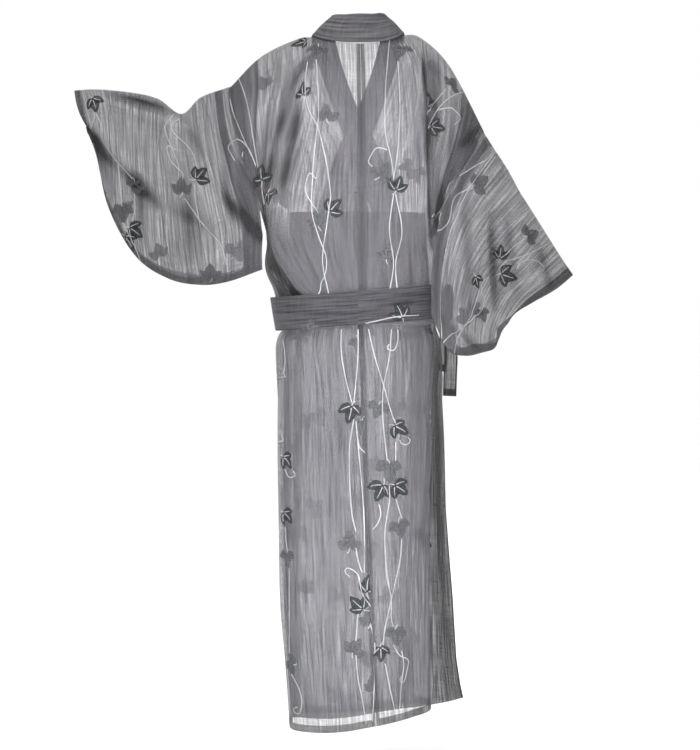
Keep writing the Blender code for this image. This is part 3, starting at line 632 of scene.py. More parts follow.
def smooth_through(knots, spans):
    """Points on a smooth curve through the knots, with `spans` steps between each two."""
    knots = np.asarray(knots, float)
    before = np.concatenate([2 * knots[:1] - knots[1:2], knots[:-2]])
    after = np.concatenate([knots[2:], 2 * knots[-1:] - knots[-2:-1]])
    start, stop = knots[:-1], knots[1:]
    shape = (1,) * (knots.ndim - 1)
    points = []
    for index in range(len(start)):
        t = (np.arange(spans) / spans).reshape((-1,) + shape)
        a, b, c, d = before[index], start[index], stop[index], after[index]
        points.append(0.5 * (2 * b + (c - a) * t + (2 * a - 5 * b + 4 * c - d) * t ** 2
                             + (3 * b - a - 3 * c + d) * t ** 3))
    return np.concatenate(points + [knots[-1:]])


def loft(guides, across, along):
    """A grid through guide lines: first index across the guides, second along them."""
    lines = np.stack([smooth_through(guide, along) for guide in guides])
    return smooth_through(lines, across)


def ridges(plane, table_rows, trim, power):
    """How far the folds or creases of a table move each point of a plane."""
    moved = np.zeros(plane.shape[:-1])
    for row in table_rows:
        start = np.array((row.x, row.z), float)
        run = np.array((row.end_x, row.end_z), float) - start
        flat = plane - start
        place = (flat @ run) / (run @ run)
        aside = np.linalg.norm(flat - np.clip(place, 0, 1)[..., None] * run, axis=-1)
        taper = np.sin(np.pi * np.clip(trim + (1 - 2 * trim) * place, 0, 1))
        moved += row.depth * taper * np.exp(-(aside / row.width) ** power)
    return moved


def outward_of(points, centre, closed):
    """The unit normals that point away from the centre, and whether the grid's own order gives them."""
    wrapped = points
    if closed:
        wrapped = np.concatenate([points[:, -2:-1], points, points[:, 1:2]], axis=1)
    normal = np.cross(np.gradient(wrapped, axis=0), np.gradient(wrapped, axis=1))
    if closed:
        normal = normal[:, 1:-1]
    normal /= np.maximum(np.linalg.norm(normal, axis=-1, keepdims=True), 1e-9)
    sign = 1.0 if np.sum(normal * (points - centre)) > 0 else -1.0
    return normal * sign, sign


def panel_of(points, centre, closed=False, creases=(), doubled=None, reach=SHADED_DEPTH):
    """A panel of cloth on a grid, with its flat coordinates, creases, doubled bands and the painted shade of
    its creases.
    """
    outward, sign = outward_of(points, centre, closed)
    steps = np.linalg.norm(np.diff(points, axis=0), axis=2).mean(axis=1)
    across = np.concatenate([[0.0], np.cumsum(steps)])
    lengths = np.cumsum(np.linalg.norm(np.diff(points, axis=1), axis=2), axis=1)
    along = np.concatenate([np.zeros((len(points), 1)), lengths], axis=1)
    across = np.repeat(across[:, None], points.shape[1], axis=1)
    push = ridges(points[..., [0, 2]], creases, *CREASE_SHAPE)
    points = points + outward * push[..., None]
    outward, sign = outward_of(points, centre, closed)
    bands = np.full(points.shape[:2], -100.0) if doubled is None else doubled(across, along)
    # shade: each crease's push as painted shade, below 0 in a valley and above 0 on a crest
    return Panel(points, across, along, bands, np.clip(push / reach, -1, 1), outward, sign)


# Making the cloth pieces

def material_slots(mesh, names):
    """Gives a mesh its materials by name."""
    for name in names:
        mesh.materials.append(bpy.data.materials[name])


def lay_map(mesh, name, values):
    """Writes a UV map from one pair of values for each corner."""
    layer = mesh.uv_layers.new(name=name)
    layer.data.foreach_set("uv", np.ascontiguousarray(values, np.float32).ravel())


def object_of(name, mesh):
    """An object in the scene at the origin."""
    piece = bpy.data.objects.new(name, mesh)
    bpy.context.scene.collection.objects.link(piece)
    return piece


def cloth_piece(name, panels, material, wall, round_edges=False):
    """One piece of cloth from panels that share their sewn or folded edges."""
    vertices, faces, flat, folds = [], [], [], []
    for panel in panels:
        rows, columns = panel.points.shape[:2]
        base = sum(len(part) for part in vertices)
        vertices.append(panel.points.reshape(-1, 3) * MM)
        flat.append(np.stack([panel.across.ravel(), panel.along.ravel()], axis=1) * MM)
        # The fold map holds the doubled band, and the creases' painted shade from 0 in a valley to 1 on a
        # crest
        folds.append(np.stack([panel.doubled.ravel() * MM, 0.5 + 0.5 * panel.shade.ravel()], axis=1))
        number = base + np.arange(rows * columns).reshape(rows, columns)
        corners = (number[:-1, :-1], number[1:, :-1], number[1:, 1:], number[:-1, 1:])
        if panel.sign < 0:
            corners = corners[::-1]
        faces.append(np.stack([corner.ravel() for corner in corners], axis=1))
    faces = np.concatenate(faces)
    mesh = bpy.data.meshes.new(name)
    mesh.from_pydata(np.concatenate(vertices).tolist(), [], faces.tolist())
    lay_map(mesh, CLOTH_MAP, np.concatenate(flat)[faces.ravel()])
    lay_map(mesh, FOLD_MAP, np.concatenate(folds)[faces.ravel()])
    builder = bmesh.new()
    builder.from_mesh(mesh)
    bmesh.ops.remove_doubles(builder, verts=builder.verts, dist=0.02 * MM)
    builder.to_mesh(mesh)
    builder.free()
    mesh.shade_smooth()
    material_slots(mesh, (material,))
    piece = object_of(name + "_cloth", mesh)
    thick = piece.modifiers.new("wall", "SOLIDIFY")
    thick.thickness = wall
    thick.offset = 0.0
    if round_edges:
        soft = piece.modifiers.new("soft edge", "BEVEL")
        soft.width = 0.35 * wall
        soft.segments = 2
        soft.limit_method = "ANGLE"
        soft.angle_limit = math.radians(50)
    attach(piece, "root")
    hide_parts(name)


def meet(points, row, reach=SEAM_REACH):
    """Moves a panel's edge out a little, so that it meets the piece it is sewn to."""
    inner = row - 1 if row < 0 else row + 1
    step = points[row] - points[inner]
    points[row] += step / np.maximum(np.linalg.norm(step, axis=-1, keepdims=True), 1e-9) * reach


def body_panels(side):
    """The back and the front of one side of the top."""
    back_guides, front_guides, back_creases, front_creases = BODY_LEFT if side > 0 else BODY_RIGHT
    centre = np.array(CENTRE_BACK, float)
    centre[:, 0] += side * 0.5 * SEAM_GAP
    back = loft([centre, *np.array(back_guides, float)], BACK_ACROSS, BODY_ALONG)
    front = loft(np.array(front_guides, float), FRONT_ACROSS, BODY_ALONG)
    neck = 2 * BACK_ACROSS
    fade = (1 - np.linspace(0, 1, front.shape[1])) ** 3
    front = front + (back[neck:, 0] - front[:, 0])[:, None] * fade[None, :, None]

    def front_bands(across, along):
        return across - (across.max() - ARMHOLE_ALLOWANCE)

    def back_bands(across, along):
        return np.maximum(SEAM_ALLOWANCE - across, front_bands(across, along))

    middle = np.array((side * 60.0, 0.0, -260.0))
    back = panel_of(back, middle, creases=back_creases, doubled=back_bands)
    front = panel_of(front, middle, creases=front_creases, doubled=front_bands)
    for panel in (back, front):
        meet(panel.points, -1)
    meet(front.points, 0, COLLAR_REACH)
    shared = 0.5 * (back.points[neck:, 0] + front.points[:, 0])
    back.points[neck:, 0] = shared
    front.points[:, 0] = shared
    return back, front


def overlap_panel(side):
    """The tapering gore between a front and the collar."""
    seam = np.array((FRONT_LEFT if side > 0 else FRONT_RIGHT)[0][GORE_START:], float)
    seam[0, 2] -= 4
    seam[:, 0] -= side * GORE_GAP
    edge = np.array(LEFT_GORE_EDGE if side > 0 else RIGHT_GORE_EDGE, float)
    middle = 0.5 * (seam + edge)
    middle[:, 1] -= np.array([0, 1, 2, 2, 2])
    points = loft((seam, middle, edge), OVERLAP_ACROSS, OVERLAP_ALONG)
    return panel_of(points, np.array((0.0, 0.0, -400.0)),
                    doubled=lambda across, along: GORE_ALLOWANCE - across)


def collar_panel():
    """The folded band, across it and then along it from one front's hem to the other's."""
    seam = smooth_through([row.seam for row in COLLAR], COLLAR_ALONG)
    edge = smooth_through([row.edge for row in COLLAR], COLLAR_ALONG)
    share = np.linspace(0, 1, COLLAR_ACROSS + 1)[:, None]
    band = seam[None] * (1 - share[..., None]) + edge[None] * share[..., None]
    centre = np.array((0.0, 0.0, -100.0))
    outward = outward_of(band, centre, False)[0]
    belly = COLLAR_BELLY * np.sin(np.pi * share) ** 2
    waver = COLLAR_WAVER * np.sin(np.linspace(0, 60, len(seam))) * np.sin(np.linspace(0, 23, len(seam)))
    return panel_of(band + outward * (belly + waver * share)[..., None], centre)


def sleeve_panel(stations, folds, creases, side, tuck):
    """A folded bag round the arm: across the warp along the arm, along the warp round the bag."""
    path = smooth_through([row[:5] for row in stations], SLEEVE_ALONG)
    depth = smooth_through([row[5:] for row in stations], SLEEVE_ALONG)
    turn = np.linspace(0, 2 * math.pi, SLEEVE_ROUND + 1)
    down = 0.5 - 0.5 * np.cos(turn)
    ease = down * down * (3 - 2 * down)
    facing = np.where(turn < math.pi, 1.0, -1.0)
    rings = []
    for number, (points, (y_top, y_low, arm, low, aside)) in enumerate(zip(path, depth)):
        line = smooth_through(points, SLEEVE_DOWN)
        where = down * (len(line) - 1)
        x = np.interp(where, np.arange(len(line)), line[:, 0])
        z = np.interp(where, np.arange(len(line)), line[:, 1])
        half = arm + (low - arm) * np.minimum(1.0, SLEEVE_DEEPENS * down)
        half = half * np.abs(np.sin(turn)) ** SLEEVE_ROUNDNESS
        y = y_top + (y_low - y_top) * ease + facing * half
        moved = aside * np.sin(math.pi * np.minimum(1.0, 0.5 + 0.5 * down)) + aside * ease
        x = x + np.where(facing < 0, moved, 0.0) + side * SEAM_GAP
        x = x - side * tuck * math.exp(-(number / SLEEVE_TUCK_STEPS) ** 2) * (1 - down) ** 3
        rings.append(np.stack([x, y, z], axis=1))
    bag = np.array(rings)
    bag[:, -1] = bag[:, 0]
    is_back = (np.arange(SLEEVE_ROUND + 1) < SLEEVE_ROUND / 2)[None]
    bag[..., 1] += np.where(is_back, 1.0, FRONT_LAYER_FOLDS) * ridges(bag[..., [0, 2]], folds, *FOLD_SHAPE)
    bag[:, -1] = bag[:, 0]

    def bands(across, along):
        half = 0.5 * along[:, -1:]
        bottom = HEM - np.abs(along - half)
        cuff = across - (across.max() - HEM)
        from_top = np.minimum(along, along[:, -1:] - along)
        seam = SLEEVE_BAND_FROM * np.clip((SLEEVE_BAND_END - from_top) / SLEEVE_BAND_FADE, 0, 1)
        join = np.minimum(SLEEVE_BAND_TO - across, across - seam)
        return np.maximum(np.maximum(bottom, cuff), join)

    middle = bag.mean(axis=(0, 1))
    outward = outward_of(bag, middle, True)[0]
    push = ridges(bag[..., [0, 2]], creases, *CREASE_SHAPE)
    push = np.where(is_back, push, FRONT_LAYER_CREASES * push[:, ::-1])
    push = push * np.minimum(1.0, SLEEVE_CREASE_RISE * np.abs(np.sin(turn)))[None]
    bag = bag + outward * push[..., None]
    made = panel_of(bag, middle, closed=True, doubled=bands)
    meet(made.points, 0, SLEEVE_REACH)
    # The sleeve's painted shade comes from its creases alone
    return made._replace(shade=np.clip(push / SHADED_DEEPER, -1, 1))


def ring(angle, left, right, back, front, power):
    """x and y at an angle round a rounded box that has four half widths."""
    sine, cosine = np.sin(angle), np.cos(angle)
    size = (np.abs(sine) ** power + np.abs(cosine) ** power) ** (-1 / power)
    return np.where(sine > 0, left, right) * sine * size, np.where(cosine > 0, back, front) * cosine * size


SKIRT_FINE = smooth_through(np.array(SKIRT, float), 8)


def skirt_points(along, z):
    """Points of the wrapped skirt, `along` millimetres round the cut from its centre back."""
    left, right, back, front, turn = (np.interp(-z, -SKIRT_FINE[:, 0], SKIRT_FINE[:, k]) for k in range(1, 6))
    inset = SKIRT_SPIRAL * (along - SKIRT_HALF) / (2 * SKIRT_HALF)
    angle = along / SKIRT_RADIUS + np.radians(turn)
    drop = np.maximum(0.0, (z - SKIRT_FREE) / (SKIRT[-1].z - SKIRT_FREE))
    opening = np.minimum(1.0, SKIRT_OPENING * drop)
    swell = np.zeros_like(z)
    for fold in SKIRT_FOLDS:
        deep = fold.at_belt + (fold.at_hem - fold.at_belt) * drop
        swell = swell + deep * opening * np.exp(-((along - fold.along) / fold.width) ** 2)
    reach = np.maximum(0.0, along - FLAP_START) / (SKIRT_HALF - FLAP_START)
    flare = np.interp(z, [row.z for row in FLAP_FLARE], [row.out for row in FLAP_FLARE])
    swell = swell + flare * reach * reach * opening
    swell = np.where(along < -SKIRT_BACK, swell * SKIRT_INNER_FOLDS, swell)
    belt_low = BELT_MIDDLE - BELT_HEIGHT / 2 + BELT_TILT * SKIRT_RADIUS * np.sin(angle)
    rise = np.clip((belt_low + SKIRT_EASE_OVER - z) / SKIRT_EASE_RISE, 0, 1)
    eased = rise * np.clip((z - SKIRT_EASE_END) / SKIRT_EASE_FADE, 0, 1)
    swell = swell + SKIRT_EASE * eased
    widths = (width + inset + swell for width in (left, right, back, front))
    return np.stack([*ring(angle, *widths, RING_POWER), z], axis=-1)


def skirt_panel(start, stop, allowances):
    """One panel of the wrap between two places along the cut, from the waistband to the hem."""
    count = max(8, round((stop - start) / SKIRT_STEP))
    hem_heights = smooth_through([row.z for row in SKIRT_HEM], 6)
    hem_along = smooth_through([row.along for row in SKIRT_HEM], 6)
    places = np.linspace(start + 0.5 * SEAM_GAP, stop - 0.5 * SEAM_GAP, count + 1)
    hem = np.interp(places, hem_along, hem_heights)
    part = np.linspace(0, 1, SKIRT_ROWS + 1) ** SKIRT_ROW_SPREAD
    top = SKIRT_SEAM - SEAM_GAP
    z = top + (hem[:, None] - top) * part[None, :]
    along = np.repeat(places[:, None], SKIRT_ROWS + 1, axis=1)
    fade = np.clip((SKIRT_FREE - z) / SKIRT_CREASE_RISE, 0, 1)
    inner = SKIRT_INNER_CREASES if stop <= -SKIRT_BACK else 1.0

    def bands(across, length):
        bottom = length - (length[:, -1:] - SKIRT_HEM_FOLD)
        first = allowances[0] - across
        last = across - (across.max() - allowances[1])
        return np.maximum(bottom, np.maximum(first, last))

    points = skirt_points(along, z)
    centre = np.array((0.0, 0.0, -900.0))
    outward = outward_of(points, centre, False)[0]
    push = ridges(np.stack([along, z], axis=-1), SKIRT_CREASES, *CREASE_SHAPE) * fade * inner
    made = panel_of(points + outward * push[..., None], centre, doubled=bands)
    # The skirt's painted shade comes from its creases
    return made._replace(shade=np.clip(push / SHADED_DEEPER, -1, 1))


def waistband_panel():
    """The doubled top of the skirt, wrapped as the skirt is."""
    places = np.linspace(-SKIRT_HALF, SKIRT_HALF, round(2 * SKIRT_HALF / SKIRT_STEP) + 1)
    heights = np.linspace(SKIRT_TOP, SKIRT_SEAM, WAISTBAND_ROWS + 1)
    along, z = np.meshgrid(places, heights, indexing="ij")
    return panel_of(skirt_points(along, z), np.array((0.0, 0.0, -420.0)),
                    doubled=lambda across, length: WAISTBAND_TURN - length)


def belt_panel():
    """The doubled belt: across it from its top edge down, then round the wearer."""
    turn = np.linspace(0, 2 * math.pi, BELT_STEPS + 1)
    part = np.linspace(0, 1, BELT_ROWS + 1)[:, None]
    widths = (top + (low - top) * part for top, low in zip(BELT_TOP, BELT_BOTTOM))
    x, y = ring(turn[None], *widths, BELT_POWER)
    z = BELT_MIDDLE + BELT_HEIGHT * (0.5 - part) + BELT_TILT * x
    points = np.stack([x, y, z], axis=-1)
    points[:, -1] = points[:, 0]
    ripple = 0.5 * np.sin(7 * turn + 1.0) * np.sin(3 * turn) + 0.3 * np.sin(17 * turn)
    centre = np.array((0.0, 0.0, BELT_MIDDLE))
    outward = outward_of(points, centre, True)[0]
    points = points + outward * (ripple[None] * np.sin(np.pi * part))[..., None]
    return panel_of(points, centre, closed=True, creases=BELT_CREASES, reach=SHADED_ON_BELT)


def tie_panel(first_edge, second_edge):
    """A hanging end of the belt between its two long edges."""
    points = loft((np.array(first_edge, float), np.array(second_edge, float)), TIE_STEPS, TIE_STEPS)
    rows = np.linspace(0, 1, points.shape[0])[:, None]
    columns = np.linspace(0, 1, points.shape[1])[None, :]
    waver = TIE_WAVER * np.sin(3.0 * columns * math.pi + 1.2 * rows) * np.sin(np.pi * rows)
    centre = np.array((-100.0, 0.0, -600.0))
    outward = outward_of(points, centre, False)[0]
    points = points + outward * waver[..., None]

    def bands(across, along):
        end = along - (along[:, -1:] - TIE_END_FOLD)
        first = TIE_EDGE_FOLD - across
        last = across - (across.max() - TIE_EDGE_FOLD)
        return np.maximum(end, np.maximum(first, last))

    return panel_of(points, centre, doubled=bands)


def knot_piece():
    """The pulled-tight wrap of the belt at the wearer's right side."""
    mesh = bpy.data.meshes.new("belt_knot_cloth")
    builder = bmesh.new()
    bmesh.ops.create_uvsphere(builder, u_segments=96, v_segments=64, radius=1.0)
    for vertex in builder.verts:
        turn = math.atan2(vertex.co.y, vertex.co.x)
        height = vertex.co.z
        folds = 0.035 * math.sin(9 * height + 2.2 * math.sin(turn)) + 0.03 * math.sin(4 * turn + 5 * height)
        tuck = sum(KNOT_TUCK_DEPTH * math.exp(-((height - middle) / KNOT_TUCK_WIDTH) ** 2)
                   for middle in KNOT_TUCKS)
        for axis in range(3):
            value = vertex.co[axis]
            vertex.co[axis] = math.copysign(abs(value) ** KNOT_ROUNDNESS, value)
        pinch = 1 - KNOT_PINCH * (1 - vertex.co.z ** 2)
        vertex.co.y *= pinch
        vertex.co *= 1 + (folds - tuck) * (1 - height ** 2)
        for axis in range(3):
            vertex.co[axis] = (vertex.co[axis] * KNOT_SIZE[axis] + KNOT_CENTRE[axis]) * MM
    bmesh.ops.recalc_face_normals(builder, faces=builder.faces)
    builder.to_mesh(mesh)
    builder.free()
    corners = np.array([mesh.vertices[loop.vertex_index].co[:] for loop in mesh.loops])
    lay_map(mesh, CLOTH_MAP, np.stack([corners[:, 1] + corners[:, 0], corners[:, 2]], axis=1))
    # No doubled band on the knot, and a little painted shade all over it, as in a shallow valley
    lay_map(mesh, FOLD_MAP, np.tile([-0.1, 0.4], (len(corners), 1)))
    mesh.shade_smooth()
    material_slots(mesh, ("doubled belt cloth",))
    piece = object_of("belt_knot_cloth", mesh)
    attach(piece, "root")
    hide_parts("belt_knot")


# The print

def on_cloth(panel, places, lift):
    """Points just over the cloth at places given across and along its warp."""
    rows, columns = panel.points.shape[:2]
    where = np.interp(places[:, 0], panel.across[:, 0], np.arange(rows))
    first = np.minimum(where.astype(int), rows - 2)
    part = where - first
    found = np.empty((len(places), 3))
    count = np.arange(columns)
    for index, (i, f, v) in enumerate(zip(first, part, places[:, 1])):
        column = np.interp(v, panel.along[i] * (1 - f) + panel.along[i + 1] * f, count)
        j = min(int(column), columns - 2)
        g = column - j
        weights = ((1 - f) * (1 - g), (1 - f) * g, f * (1 - g), f * g)
        spots = ((i, j), (i, j + 1), (i + 1, j), (i + 1, j + 1))
        point = sum(w * panel.points[s] for w, s in zip(weights, spots))
        away = sum(w * panel.outward[s] for w, s in zip(weights, spots))
        found[index] = point + away / max(1e-9, math.sqrt(away @ away)) * lift
    return found


def true_frames(panel, places):
    """For each place, the matrix that turns true millimetres on the cloth into its flat coordinates."""
    step = 4

    def slope(axis, last):
        first, second = places.copy(), places.copy()
        first[:, axis] = np.clip(places[:, axis] - 2, 0, last - step)
        second[:, axis] = first[:, axis] + step
        return (on_cloth(panel, second, 0.0) - on_cloth(panel, first, 0.0)) / step

    aside = slope(0, panel.across[-1, 0])
    ahead = slope(1, np.interp(places[:, 0], panel.across[:, 0], panel.along[:, -1]))
    long = np.maximum(np.linalg.norm(ahead, axis=1), 0.4)
    shared = (aside * ahead).sum(1) / long
    square = np.sqrt(np.maximum((aside ** 2).sum(1) - shared ** 2, 0.16))
    frames = np.zeros((len(places), 2, 2))
    frames[:, 0, 0] = 1 / square
    frames[:, 1, 0] = -shared / (square * long)
    frames[:, 1, 1] = 1 / long
    return frames


def as_seen(panel):
    """Where each grid point shows in the first view, as (x, z) on the plane through the shoulders."""
    camera = np.array(CAMERA_PLACE)
    sight = panel.points - camera
    reach = -camera[1] / sight[..., 1]
    return camera[[0, 2]] + sight[..., [0, 2]] * reach[..., None]


def place_on(panel, seen, spot):
    """The place on the cloth that shows at a spot of the first view, and how far off the panel is."""
    gap = ((seen - np.array(spot)) ** 2).sum(-1)
    gap = np.where(panel.outward[..., 1] > -0.2, gap, gap + 1e5)
    i, j = np.unravel_index(np.argmin(gap), gap.shape)
    i = min(max(i, 1), gap.shape[0] - 2)
    j = min(max(j, 1), gap.shape[1] - 2)
    step_i = 0.5 * (seen[i + 1, j] - seen[i - 1, j])
    step_j = 0.5 * (seen[i, j + 1] - seen[i, j - 1])
    try:
        moves = np.linalg.solve(np.stack([step_i, step_j], axis=1), np.array(spot) - seen[i, j])
    except np.linalg.LinAlgError:
        moves = np.array((9.0, 9.0))
    moves = np.clip(moves, -1.2, 1.2)
    miss = np.linalg.norm(seen[i, j] + moves[0] * step_i + moves[1] * step_j - np.array(spot))
    across = panel.across[i, j] + moves[0] * 0.5 * (panel.across[i + 1, j] - panel.across[i - 1, j])
    along = panel.along[i, j] + moves[1] * 0.5 * (panel.along[i, j + 1] - panel.along[i, j - 1])
    return np.array((across, along)), miss


class Print:
    """Collects the printed shapes of one panel and makes one mesh of them."""

    def __init__(self, panel, sizes, rise=0.0):
        self.panel = panel
        self.vine_width = sizes.vine_width / MM
        self.leaf_line = sizes.leaf_line / MM
        self.rise = rise
        self.about = None
        self.seen = as_seen(panel)
        self.points, self.flat, self.faces, self.ink = [], [], [], []

    def add(self, places, faces, ink, lift):
        """Adds faces over places on the cloth, or over true offsets from the leaf that is being laid."""
        base = len(self.flat)
        if self.about is not None:
            centre, frame = self.about
            places = centre + places @ frame.T
        self.points.extend(on_cloth(self.panel, places, lift + self.rise).tolist())
        self.flat.extend(places.tolist())
        self.faces.extend([tuple(base + corner for corner in face) for face in faces])
        self.ink.extend([ink] * len(faces))

    def ribbon(self, line, widths, ink=WHITE_INK, lift=VINE_LIFT):
        """A line of a width that may change along it."""
        line = np.asarray(line, float)
        run = np.gradient(line, axis=0)
        frames = np.repeat(np.eye(2)[None], len(line), axis=0)
        if self.about is None:
            frames = true_frames(self.panel, line)
            run = np.linalg.solve(frames, run[:, :, None])[:, :, 0]
        run /= np.maximum(np.linalg.norm(run, axis=1, keepdims=True), 1e-9)
        side = np.stack([-run[:, 1], run[:, 0]], axis=1) * 0.5 * np.asarray(widths, float).reshape(-1, 1)
        side = (frames @ side[:, :, None])[:, :, 0]
        places = np.concatenate([line + side, line - side])
        count = len(line)
        faces = [(k, k + 1, count + k + 1, count + k) for k in range(count - 1)]
        self.add(places, faces, ink, lift)

    def vine(self, line, share=1.0):
        """A vine that swells and thins a little along its way."""
        line = smooth_through(line, 8)
        length = np.concatenate([[0.0], np.cumsum(np.linalg.norm(np.diff(line, axis=0), axis=1))])
        count = max(4, int(length[-1] / 5))
        even = np.linspace(0, length[-1], count)
        line = np.stack([np.interp(even, length, line[:, k]) for k in range(2)], axis=1)
        swell = 1 + 0.22 * np.sin(even / 23.0) + 0.12 * np.sin(even / 9.0 + 1)
        self.ribbon(line, share * self.vine_width * swell)

    def leaf(self, centre, tip, reach, ink, chance):
        """An ivy leaf of three lobes: dark with white middle veins, or plain grey with faint ones."""
        frame = true_frames(self.panel, np.array([centre]))[0]
        tip = np.linalg.solve(frame, np.asarray(tip, float))
        tip = tip / max(1e-9, np.linalg.norm(tip))
        side = np.array((-tip[1], tip[0]))
        self.about = (centre, frame)
        joint = -0.42 * reach * tip
        dark = ink == "dark"
        steps = np.linspace(0, 1, 13)[:, None]
        for lobe in LOBES[ink]:
            turn = math.radians(lobe.turn + chance.uniform(-6, 6))
            length = reach * lobe.length * chance.uniform(0.92, 1.08)
            ahead = math.cos(turn) * tip + math.sin(turn) * side
            aside = np.array((-ahead[1], ahead[0]))
            bow = length * chance.uniform(0.02, 0.07) * (1 if lobe.turn >= 0 else -1)
            middle = joint + ahead * (0.05 + 0.95 * steps) * length + aside * bow * np.sin(np.pi * steps)
            half = lobe.half * length * np.sin(np.pi * steps ** 0.82) ** 0.72 * (1.06 - 0.22 * steps)
            left, right = middle + aside * half, middle - aside * half
            count = len(steps)
            faces = [(k, k + 1, count + k + 1, count + k) for k in range(count - 1)]
            faces += [(count + k, count + k + 1, 2 * count + k + 1, 2 * count + k) for k in range(count - 1)]
            self.add(np.concatenate([left, middle, right]), faces,
                     DARK_INK if dark else GREY_INK, LEAF_LIFT)
            if dark:
                rim = np.concatenate([left, right[::-1][1:]])
                self.ribbon(rim, np.full(len(rim), 0.55 * self.leaf_line), BLACK_INK, LINE_LIFT)
            vein = middle[1:10]
            share = np.linspace(1.0, 0.45, len(vein))
            wide, vein_ink, lift = (1.25, WHITE_INK, VEIN_LIFT) if dark else (0.5, DARK_INK, LINE_LIFT)
            self.ribbon(vein, wide * self.leaf_line * share, vein_ink, lift)
        bend = 0.16 * reach * chance.choice((-1, 1))
        line = joint - tip * 0.3 * reach * steps + side * bend * steps ** 2
        self.ribbon(line, np.full(len(line), 0.8 * self.leaf_line), WHITE_INK, VEIN_LIFT)
        self.about = None

    def finish(self, name):
        """Makes the print's piece."""
        mesh = bpy.data.meshes.new(name)
        mesh.from_pydata((np.array(self.points) * MM).tolist(), [], self.faces)
        mesh.polygons.foreach_set("material_index", self.ink)
        corners = np.empty(len(mesh.loops), np.int32)
        mesh.loops.foreach_get("vertex_index", corners)
        lay_map(mesh, CLOTH_MAP, np.array(self.flat)[corners] * MM)
        material_slots(mesh, INKS)
        builder = bmesh.new()
        builder.from_mesh(mesh)
        builder.normal_update()
        cloth = self.panel.points.reshape(-1, 3)[::7] * MM
        away = self.panel.outward.reshape(-1, 3)[::7]
        inward = []
        for face in builder.faces:
            centre = np.array(face.calc_center_median())
            near = int(np.argmin(((cloth - centre) ** 2).sum(-1)))
            if np.dot(away[near], np.array(face.normal)) < 0:
                inward.append(face)
        bmesh.ops.reverse_faces(builder, faces=inward)
        bmesh.ops.dissolve_degenerate(builder, edges=builder.edges, dist=0.02 * MM)
        builder.to_mesh(mesh)
        builder.free()
        mesh.shade_smooth()
        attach(object_of(name, mesh), "root")


def climbing(printed, seed, share, spacing=112.0, apart=1.0):
    """Crossing vines with leaves beside them, along the warp over a share of each length of a panel."""
    chance = random.Random(seed)
    width = printed.panel.across[-1, 0]
    centre = 0.5 * (width % spacing) + 0.2 * spacing * chance.random() + 8
    if width < spacing:
        centre = 0.5 * width
    while centre < width - 6:
        whole = np.interp(centre, printed.panel.across[:, 0], printed.panel.along[:, -1])
        first, last = share[0] * whole, share[1] * whole
        phase = chance.uniform(0, 6.2)
        lengths = np.linspace(first, last, max(4, int((last - first) / 24)))
        for sign in (-1, 1):
            sway = centre + sign * 9.5 * np.sin(lengths / 58.0 + phase) + 3 * np.sin(lengths / 31.0 + sign)
            printed.vine(np.stack([sway, lengths], axis=1))
        at = first + chance.uniform(15, 70)
        number = 0
        while at < last - 15:
            sign = chance.choice((-1, 1))
            spot = np.array((centre + sign * chance.uniform(14, 22), at))
            tip = np.array((sign * chance.uniform(0.1, 0.9), chance.choice((1, 1, -0.6))))
            ink = "dark" if (number + seed) % 2 else "grey"
            printed.leaf(spot, tip, chance.uniform(27, 35), ink, chance)
            if ink == "dark" and chance.random() < 0.7:
                mate = spot + np.array((-sign * 30, chance.uniform(2, 14)))
                tip = np.array((-sign * chance.uniform(0.5, 1.0), 0.6))
                printed.leaf(mate, tip, chance.uniform(25, 32), "dark", chance)
            if chance.random() < 0.35:
                curl = np.linspace(0, 4.6, 9)
                loop = np.stack([np.cos(curl), np.sin(curl)], axis=1) * (4 + 1.6 * curl[:, None])
                printed.vine(spot + np.array((-sign * 24, -30)) + loop, 0.7)
            at += apart * chance.uniform(130, 260)
            number += 1
        centre += spacing * chance.uniform(0.92, 1.1)


def panel_at(prints, spot):
    """The first print whose panel shows at a spot, or else the nearest, and the place on its cloth."""
    nearest = (14.0, None, None)
    for name, printed in prints.items():
        place, miss = place_on(printed.panel, printed.seen, spot)
        if miss < 2.0:
            return name, place
        if miss < nearest[0]:
            nearest = (miss, name, place)
    return nearest[1:]


def seen_prints(prints, group):
    """The leaves and vines that the first view shows on a group of panels."""
    chance = random.Random(len(group) * 7)
    for vine in VINES[group]:
        runs = []
        for spot in smooth_through(np.reshape(vine, (-1, 2)) * PRINT_STEP, 6):
            name, place = panel_at(prints, spot)
            if not runs or runs[-1][0] != name:
                runs.append((name, []))
            runs[-1][1].append(place)
        for name, places in runs:
            if name and len(places) > 2:
                prints[name].vine(np.array(places))
    for leaf in LEAVES[group]:
        spot = np.array((leaf.x, leaf.z)) * PRINT_STEP
        name, centre = panel_at(prints, spot)
        if name is None:
            raise RuntimeError(f"no panel shows at the leaf {spot}")
        printed = prints[name]
        turn = math.radians(leaf.turn)
        ahead = spot - 9 * np.array((math.sin(turn), math.cos(turn)))
        tip = place_on(printed.panel, printed.seen, ahead)[0] - centre
        printed.leaf(centre, tip, leaf.reach, leaf.ink, chance)


# Materials

def node(tree, kind, inputs=None, **settings):
    """One shader node with its settings, its inputs set or joined."""
    made = tree.nodes.new(kind)
    for key, value in settings.items():
        setattr(made, key, value)
    for key, value in (inputs or {}).items():
        if isinstance(value, bpy.types.NodeSocket):
            tree.links.new(value, made.inputs[key])
        else:
            made.inputs[key].default_value = value
    return made


def weighed(tree, terms, start=0.0):
    """The sum of `start` and of each value times its weight."""
    total = start
    for value, weight in terms:
        made = node(tree, "ShaderNodeMath", {0: value, 1: weight, 2: total}, operation="MULTIPLY_ADD")
        total = made.outputs[0]
    return total


